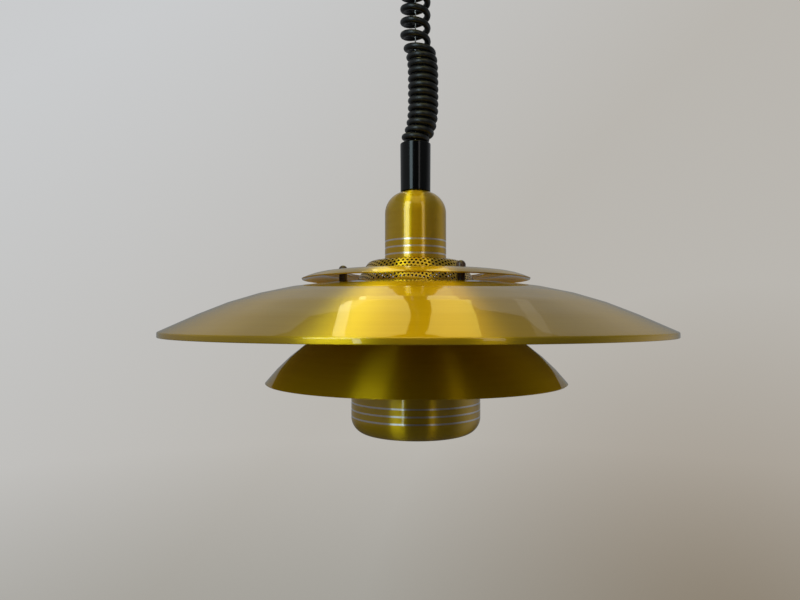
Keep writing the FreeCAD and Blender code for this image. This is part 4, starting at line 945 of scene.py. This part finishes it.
def vent_layout(last):
    """Centres of the vents on the flat sheet: rows 0.866 pitches apart, each half a pitch on from the
    row before, set out from one known vent, and kept where the whole vent lies between the first ring
    and the last."""
    c = sizes("cage")
    count = int(2 * last / c.vent_pitch)
    column, row = np.meshgrid(np.arange(-count, count + 1), np.arange(-2 * count, 2 * count + 1))
    out = c.vent_row + row * c.vent_pitch * ROW_STEP
    side = (column + 0.5 * (row % 2)) * c.vent_pitch
    cosine, sine = math.cos(c.vent_turn), math.sin(c.vent_turn)
    centres = np.stack([out * cosine - side * sine, out * sine + side * cosine], axis=-1)
    distance = np.hypot(out, side)
    return centres[(distance > VENT_START + c.vent_radius) & (distance < last - c.vent_radius)]


def circle(count):
    """Points of a circle of radius 1 round the origin."""
    return flat_way(round_angles(count))[:, :2]


def loop_edges(numbers):
    """Edges of closed loops of points, whose numbers stand in one row for each loop."""
    return np.stack([numbers, np.roll(numbers, -1, axis=1)], axis=-1).reshape(-1, 2)


def halves(corners):
    """Two triangles for each four-cornered face, from its point numbers or its UVs."""
    return np.concatenate([corners[:, [0, 1, 2]], corners[:, [0, 2, 3]]])


def between_vents(flat, vents, rings):
    """Triangles of the flat sheet between the vents' loops and the rings' loops: those inside a vent, or
    inside the first ring, have all three corners on one loop and are left out."""
    edges = np.concatenate([loop_edges(vents), loop_edges(rings)])
    result = delaunay_2d_cdt(flat.tolist(), edges.tolist(), [], 0, SAME_POINT)
    triangles = np.array(result[3])[:, 0][np.array(result[2])]
    owner = np.concatenate([np.repeat(np.arange(len(vents)), VENT_SIDES),
                            np.repeat(-1 - np.arange(len(rings)), CAGE_SEGMENTS)])[triangles]
    one_loop = (owner[:, 0] == owner[:, 1]) & (owner[:, 1] == owner[:, 2])
    return triangles[~(one_loop & (owner[:, 0] >= -1))]


def perforated(flat, triangles, vent_loops, line):
    """The cage's two faces and its vents' walls. A point of the flat sheet at distance s from the axis
    goes to the section's point at s, at the same angle, and the inner face lies a wall further in. V is
    carried past a whole turn where a face crosses the seam."""
    c = sizes("cage")
    s = np.hypot(*flat.T)
    place, normal = along_line(line, s - c.hole)
    ring = flat / s[:, None]
    points = np.vstack([np.column_stack([ring * both[:, :1], both[:, 1] + RIM_Z])
                        for both in (place, place - normal * c.wall)])
    count = len(flat)
    a, b = loop_edges(vent_loops).T
    walls = halves(np.stack([a, b, b + count, a + count], axis=1))
    faces = np.concatenate([triangles, triangles[:, ::-1] + count, walls])
    turn = np.arctan2(flat[:, 1], flat[:, 0]) / FULL_TURN
    uvs = np.stack([np.concatenate([s, s + INSIDE_U]), np.tile(turn, 2)], axis=1)[faces]
    crosses = np.ptp(uvs[..., 1], axis=1)[:, None] > 0.5
    uvs[..., 1] += crosses & (uvs[..., 1] < 0)
    return points, faces, uvs


def rest_of_cage(line, base):
    """The plain rest of the cage: neck and flange below the vents, both faces and the edge, as an open
    strip spun round the axis that joins the perforated part's last rings, and the edge of its hole."""
    c = sizes("cage")
    inward = -left_of(corner_directions(line)) * c.wall
    inner = shifted(line, -c.wall)
    strip = np.vstack([line[base:], inner[base + 1:][::-1], line[base] + inward[base]])
    edge = np.vstack([line[0] + inward[0], line[0]])
    one, two = (spun(*part.T, CAGE_SEGMENTS, line_marks(part) + REST_U) for part in (strip, edge))
    points = np.vstack([one[0], two[0]]) + UP * RIM_Z
    return points, np.vstack([one[1], two[1] + len(one[0])]), np.vstack([one[2], two[2]])


class PENDANT_OT_vent_cage(bpy.types.Operator):
    """The perforated cage between the cap and the main shade"""
    bl_idname = "pendant.vent_cage"
    bl_label = "Vent cage"

    def execute(self, context):
        c = sizes("cage")
        corners, rounds = cage_section()
        line = rounded(corners, rounds)
        base = np.argmin(np.hypot(*(line - corners[CAGE_BASE]).T))
        last = c.hole + line_marks(line)[base]
        centres = vent_layout(last - VENT_MARGIN)
        vents = (centres[:, None] + c.vent_radius * circle(VENT_SIDES)).reshape(-1, 2)
        distances = np.append(np.linspace(c.hole, VENT_START, CAGE_RINGS), last)
        rings = (distances[:, None, None] * circle(CAGE_SEGMENTS)).reshape(-1, 2)
        flat = np.vstack([vents, rings])
        vent_numbers, ring_numbers = np.split(np.arange(len(flat)), [len(vents)])
        vent_loops = vent_numbers.reshape(-1, VENT_SIDES)
        triangles = between_vents(flat, vent_loops, ring_numbers.reshape(-1, CAGE_SEGMENTS))
        points, faces, uvs = perforated(flat, triangles, vent_loops, line)
        more, quads, quad_uvs = rest_of_cage(line, base)
        all_faces = np.concatenate([faces, halves(quads) + len(points)])
        # the inner face and the vents' walls get the dark finish, painted shade inside the cage
        painted_shade_faces = np.zeros(len(all_faces), int)
        painted_shade_faces[len(triangles):len(faces)] = 1
        cage = make_object("vent_cage_perforated", np.vstack([points, more]), all_faces,
                           np.concatenate([uvs, halves(quad_uvs)]), painted_shade_faces)
        merge_doubles(cage.data, 2 * TINY, True)
        cage.data.set_sharp_from_angle(angle=math.radians(SHARP_DEGREES))
        dress(cage, "vent_cage", "spun_gold", "cage inner painted shade")
        return {"FINISHED"}


# ---- tube, knobs and screw shell -----------------------------------------------------------------
TUBE_FLOOR = 3.0 * MM
TUBE_ROUNDS = np.array([0.6, 1.1, 0.9, 1.0, 0.3, 0.3]) * MM
KNOB_FOOT = 0.9 * MM
KNOB_STEP = 0.35 * MM
KNOB_EDGE = 0.2 * MM
KNOB_TOP_EDGE = 0.15 * MM
KNOB_SEGMENTS = 48
DOME_POINTS = 14
PEGS = 3
THREAD_PITCH = 3.62 * MM
THREAD_MIDDLE = 13.05 * MM
THREAD_DEPTH = 0.35 * MM
THREAD_FADE = 1.5 * MM
THREAD_END = 0.5 * MM
THREAD_SEGMENTS = 96
THREAD_POINTS = 90
SHELL_WALL = 0.4 * MM


class PENDANT_OT_grip_tube(bpy.types.Operator):
    """The glossy black tube between the cord and the cap"""
    bl_idname = "pendant.grip_tube"
    bl_label = "Grip tube"

    def execute(self, context):
        h = sizes("hanging")
        low = sizes("cage").top + sizes("shades").cap_height
        high = low + h.tube_length
        floor = low + TUBE_FLOOR
        corners = [(h.tube_bottom, low), (h.tube_top, high), (h.tube_bore, high), (h.tube_bore, floor),
                   (PIPE_RADIUS, floor), (PIPE_RADIUS, low)]
        section = rounded_loop(corners, TUBE_ROUNDS)
        tube = spin("grip_tube_moulded", section, segments=128, longest=0.004)
        dress(tube, "grip_tube", "black_plastic")
        return {"FINISHED"}


class PENDANT_OT_knobs(bpy.types.Operator):
    """The three round-headed knobs on the top ring"""
    bl_idname = "pendant.knobs"
    bl_label = "Knobs"

    def execute(self, context):
        h, s = sizes("hanging"), sizes("shades")
        radius = h.knob_radius
        neck = radius - KNOB_STEP
        share = np.linspace(0.0, math.pi / 2, DOME_POINTS)
        dome = np.stack([neck * np.cos(share), h.knob_height - neck + neck * np.sin(share)], axis=1)
        base = np.array([(0.0, 0.0), (radius - KNOB_EDGE, 0.0), (radius, KNOB_EDGE),
                         (radius, KNOB_FOOT - KNOB_EDGE), (radius - KNOB_TOP_EDGE, KNOB_FOOT),
                         (neck, KNOB_FOOT)])
        section = np.vstack([base, dome])
        points, faces, uvs = spun(*section.T, KNOB_SEGMENTS, loop_marks(section))
        pegs = flat_way(h.peg_start + round_angles(PEGS)) * h.peg_circle
        pegs[:, 2] = RIM_Z + main_top(s) + s.ring_rise
        offsets = np.arange(PEGS)[:, None, None] * len(points)
        knobs = make_object("knobs_turned", (points + pegs[:, None]).reshape(-1, 3),
                            (faces + offsets).reshape(-1, 4), np.tile(uvs, (PEGS, 1, 1)))
        dress(knobs, "knobs", "brown_plastic")
        return {"FINISHED"}


class PENDANT_OT_screw_shell(bpy.types.Operator):
    """The brass shell with its rolled thread: the radius is middle + depth x cos(2 pi (height / pitch -
    share of the turn)), with an inner face, an outer face a wall further out, and the two edges"""
    bl_idname = "pendant.screw_shell"
    bl_label = "Screw shell"

    def execute(self, context):
        low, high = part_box("screw_shell")
        z = np.linspace(low.z, high.z - THREAD_END, THREAD_POINTS)
        heights = np.concatenate([z, z[::-1]])
        wall = np.repeat([0.0, SHELL_WALL], THREAD_POINTS)
        fade = np.clip(np.minimum(heights - z[0], z[-1] - heights) / THREAD_FADE, 0.0, 1.0)
        wave = np.cos(FULL_TURN * heights / THREAD_PITCH - round_angles(THREAD_SEGMENTS)[:, None])
        marks = np.arange(len(heights) + 1) * (z[1] - z[0])
        radius = THREAD_MIDDLE + wall + THREAD_DEPTH * wave * fade
        shell = make_object("screw_shell_threaded", *spun(radius, heights, THREAD_SEGMENTS, marks))
        dress(shell, "screw_shell", "brass")
        return {"FINISHED"}


# ---- the stage -----------------------------------------------------------------------------------
FLOOR_Z = -2.6
STAGE_RADIUS = 4.2
STAGE_BEND = 1.4
STAGE_TOP = 3.4
STAGE_WALL = 0.05
# painted shadow round one corner of the wall: its centre, the distances over which it fades out, and its
# strength; then the span over which the wall's colour goes from lighter and cooler to darker and warmer,
# as painted light and shade
PAINTED_SHADOW_CORNER = (2.1, 3.3, -2.6)
PAINTED_SHADOW_REACH = (0.2, 2.4)
PAINTED_SHADOW_SHARE = 0.8
LIT_TO_SHADED_SPAN = (-3.6, 0.6)
PAINT_SHARES = (0.6, 1.0)
PAINT_HEIGHTS = (FLOOR_Z, -1.4)
ROOM_TINT = (0.95, 1.0, 1.04)
BACK_LEVELS = (0.22, 0.37)
BACK_HEIGHTS = (0.0, 1.5)
BACK_STARTS = (0.5, 2.5)
SIDE_LEVEL = 0.17
SIDE_SHARES = (1.6, 0.62)
SIDE_PLACES = (-3.6, 2.6)
CAMERA_SHARES = (0.25, 1.0)
CAMERA_PLACES = (-3.95, -3.4)
CEILING_LEVEL = 0.17
FLOOR_LEVEL = 0.05
FLOOR_HEIGHTS = (-2.2, -1.1)
LIT_CORNER = (3.9, 0.9, -1.5)
LIT_LEVEL = 0.27
LIT_REACH = (0.6, 2.6)
LAMP_MIDDLE = -0.43
CEILING_RISE = 2.0
WINDOW_DISTANCE = 2.6
GOLDEN = (1.0, 0.89, 0.17)
PALE_GOLD = (1.0, 0.95, 0.50)
CEILING_STRIPS = {
    "ceiling far": (-0.40, 0.42, 2.9, 4.0, 0.25, GOLDEN),
    "ceiling back": (-0.38, 0.44, 2.2, 2.9, 0.75, GOLDEN),
    "ceiling back edge": (-0.44, -0.38, 2.2, 2.9, 1.5, PALE_GOLD),
    "ceiling middle": (-0.50, 0.53, 0.0, 2.2, 1.1, GOLDEN),
    "ceiling middle edge": (-0.60, -0.50, 0.0, 2.2, 1.8, PALE_GOLD),
    "ceiling front": (-0.86, 0.80, -0.9, 0.0, 1.1, GOLDEN),
    "ceiling near": (-0.55, 0.58, -2.6, -0.9, 1.1, GOLDEN),
    "ceiling line": (1.0, 1.16, -2.6, 2.9, 0.14, (1.0, 0.95, 0.8)),
}
WINDOWS = {
    "window left": (214.5, 25.0, (0.95, 2.4), 3.8, (0.70, 0.92, 1.0)),
    "window foot": (203.0, -7.0, (0.14, 0.7), 4.0, (0.75, 0.95, 1.0)),
    "window right": (152.5, 21.0, (0.42, 2.7), 1.2, (1.0, 0.98, 0.95)),
}
CAMERA_PLACE = (-0.0155, -0.617, -0.4611)
CAMERA_PITCH = math.radians(91.76)
CAMERA_LENS = 27.9
CAMERA_SENSOR = 36.0


def room_level(n, place, x, y, z):
    """How bright metal sees the room: behind the lamp by height; at its sides brighter on the left, and
    down to a quarter behind the camera; the floor's level below; and more round one lit corner."""
    back = n.span(z, *BACK_LEVELS, *BACK_HEIGHTS)
    side = n.maths("MULTIPLY", SIDE_LEVEL, n.span(x, *SIDE_SHARES, *SIDE_PLACES))
    side = n.maths("MULTIPLY", side, n.span(y, *CAMERA_SHARES, *CAMERA_PLACES))
    level = n.between(n.span(y, 0.0, 1.0, *BACK_STARTS), side, back)
    level = n.between(n.span(z, 1.0, 0.0, *FLOOR_HEIGHTS), level, FLOOR_LEVEL)
    return n.maths("ADD", level, n.span(n.distance(place, LIT_CORNER), LIT_LEVEL, 0.0, *LIT_REACH))


def stage_wall(name):
    """Pale painted wall and floor, whose colour holds painted light and shade: lighter at the upper left,
    darker at the lower right, with a painted shadow round one corner. The camera sees the wall at its own
    plain level, and more and more real paint towards the floor, so that the shadow stays; metal sees the
    room's dimmer levels."""
    n = Nodes(name)
    finish = sizes("finishes")
    place = n.place()
    x, y, z = n.node("SeparateXYZ", place).outputs
    # painted light and shade: the wall's colour goes from lighter and cooler at the upper left to darker
    # and warmer at the lower right
    tone = n.tones(n.maths("SUBTRACT", x, z), finish.wall_lit_cool, finish.wall_shaded_warm, *LIT_TO_SHADED_SPAN)
    # painted shadow: a darker patch round one lower corner of the wall
    shaded = n.span(n.distance(place, PAINTED_SHADOW_CORNER), PAINTED_SHADOW_SHARE, 0.0, *PAINTED_SHADOW_REACH)
    tone = n.tones(shaded, tone, finish.wall_painted_shadow, 0.0, 1.0)
    n.set(Base_Color=tone, Roughness=0.9, Normal=n.bump(n.noise(place, 40.0), 0.0005))
    rays = n.node("LightPath").outputs
    seen = n.node("Emission", tone, 1.0).outputs[0]
    room = n.node("Emission", ROOM_TINT, room_level(n, place, x, y, z)).outputs[0]
    plain = n.maths("MULTIPLY", rays["Is Camera Ray"], n.span(z, *PAINT_SHARES, *PAINT_HEIGHTS))
    paint = n.node("MixShader", plain, n.shader.outputs["BSDF"], seen).outputs[0]
    mirrored = n.maths("MAXIMUM", rays["Is Glossy Ray"], rays["Is Transmission Ray"])
    whole = n.node("MixShader", mirrored, paint, room).outputs[0]
    n.put(n.tree.nodes["Material Output"].inputs["Surface"], whole)
    return n.owner


def room_air(name):
    """The air above the wall: pale for the camera, and the ceiling's level for everything else."""
    n = Nodes(name, "worlds", "Background")
    cool = sizes("finishes").wall_lit_cool
    seen = n.node("LightPath").outputs["Is Camera Ray"]
    return n.set(Color=cool, Strength=n.span(seen, CEILING_LEVEL / cool[0], 1.0, 0.0, 1.0))


def panel(name, centre, size, level, tint, turn=(0.0, 0.0, 0.0)):
    """A soft rectangular light. Its power is pi x area x level, so level is how bright it looks."""
    data = bpy.data.lights.new(name, "AREA")
    data.shape = "RECTANGLE"
    data.size, data.size_y = size
    data.energy = math.pi * size[0] * size[1] * level
    data.color = tint
    lamp = bpy.data.objects.new(name, data)
    bpy.context.scene.collection.objects.link(lamp)
    lamp.location = centre
    lamp.rotation_euler = turn
    lamp.visible_camera = False


def window(name, azimuth, elevation, size, level, tint):
    """An upright soft light that faces the lamp, round it from the back wall by the azimuth."""
    a, e = math.radians(azimuth), math.radians(elevation)
    way = np.array([math.sin(a) * math.cos(e), math.cos(a) * math.cos(e), math.sin(e)])
    centre = UP * LAMP_MIDDLE + way * WINDOW_DISTANCE
    panel(name, centre, size, level, tint, (math.pi / 2 - e, 0.0, math.pi - a))


def ceiling_strip(name, left, right, front, back, level, tint):
    """A lit part of the ceiling, which faces down. Side by side they widen towards the camera."""
    centre = ((left + right) / 2, (front + back) / 2, LAMP_MIDDLE + CEILING_RISE)
    panel(name, centre, (right - left, back - front), level, tint)


class PENDANT_OT_stage(bpy.types.Operator):
    """The pale sweep, the lights and the camera"""
    bl_idname = "pendant.stage"
    bl_label = "Stage"

    def execute(self, context):
        scene = context.scene
        corners = [(0.0, FLOOR_Z), (STAGE_RADIUS, FLOOR_Z), (STAGE_RADIUS, STAGE_TOP)]
        line = rounded(corners, [STAGE_BEND])
        section = np.vstack([line, shifted(line, -STAGE_WALL)[::-1]])
        section[-1, 0] = 0.0
        sweep = spin("studio_sweep", section, segments=96, longest=0.5, base=0.0)
        sweep.data.materials.append(stage_wall("studio paint"))
        for name, values in CEILING_STRIPS.items():
            ceiling_strip(name, *values)
        for name, values in WINDOWS.items():
            window(name, *values)
        scene.world = room_air("room air")
        scene.view_settings.view_transform = "Standard"
        data = bpy.data.cameras.new("camera")
        data.sensor_width = CAMERA_SENSOR
        data.lens = CAMERA_LENS
        camera = bpy.data.objects.new("camera", data)
        scene.collection.objects.link(camera)
        camera.location = CAMERA_PLACE
        camera.rotation_euler = (CAMERA_PITCH, 0.0, 0.0)
        scene.camera = camera
        return {"FINISHED"}


class PENDANT_PT_panel(bpy.types.Panel):
    """Lists the pieces and the stage"""
    bl_idname = "PENDANT_PT_panel"
    bl_label = "Pendant"
    bl_space_type = "VIEW_3D"
    bl_region_type = "UI"
    bl_category = "Pendant"

    def draw(self, context):
        for operator in OPERATORS:
            self.layout.operator(operator.bl_idname)


GROUPS = {"shades": ShadeSizes, "cage": CageSizes, "hanging": HangingSizes, "finishes": Finishes}
OPERATORS = (
    PENDANT_OT_stage, PENDANT_OT_curly_cord, PENDANT_OT_suspension_wire, PENDANT_OT_fittings,
    PENDANT_OT_main_shade, PENDANT_OT_top_ring, PENDANT_OT_lower_shade, PENDANT_OT_cup, PENDANT_OT_cap,
    PENDANT_OT_vent_cage, PENDANT_OT_grip_tube, PENDANT_OT_knobs, PENDANT_OT_screw_shell,
)


def register():
    for kind in (*GROUPS.values(), *OPERATORS, PENDANT_PT_panel):
        bpy.utils.register_class(kind)
    for name, kind in GROUPS.items():
        setattr(bpy.types.Scene, "pendant_" + name, bpy.props.PointerProperty(type=kind))


def unregister():
    for name in GROUPS:
        delattr(bpy.types.Scene, "pendant_" + name)
    for kind in (PENDANT_PT_panel, *OPERATORS, *GROUPS.values()):
        bpy.utils.unregister_class(kind)


def main():
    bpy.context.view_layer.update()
    register()
    for operator in OPERATORS:
        family, name = operator.bl_idname.split(".")
        getattr(getattr(bpy.ops, family), name)()


if __name__ == "__main__":
    main()
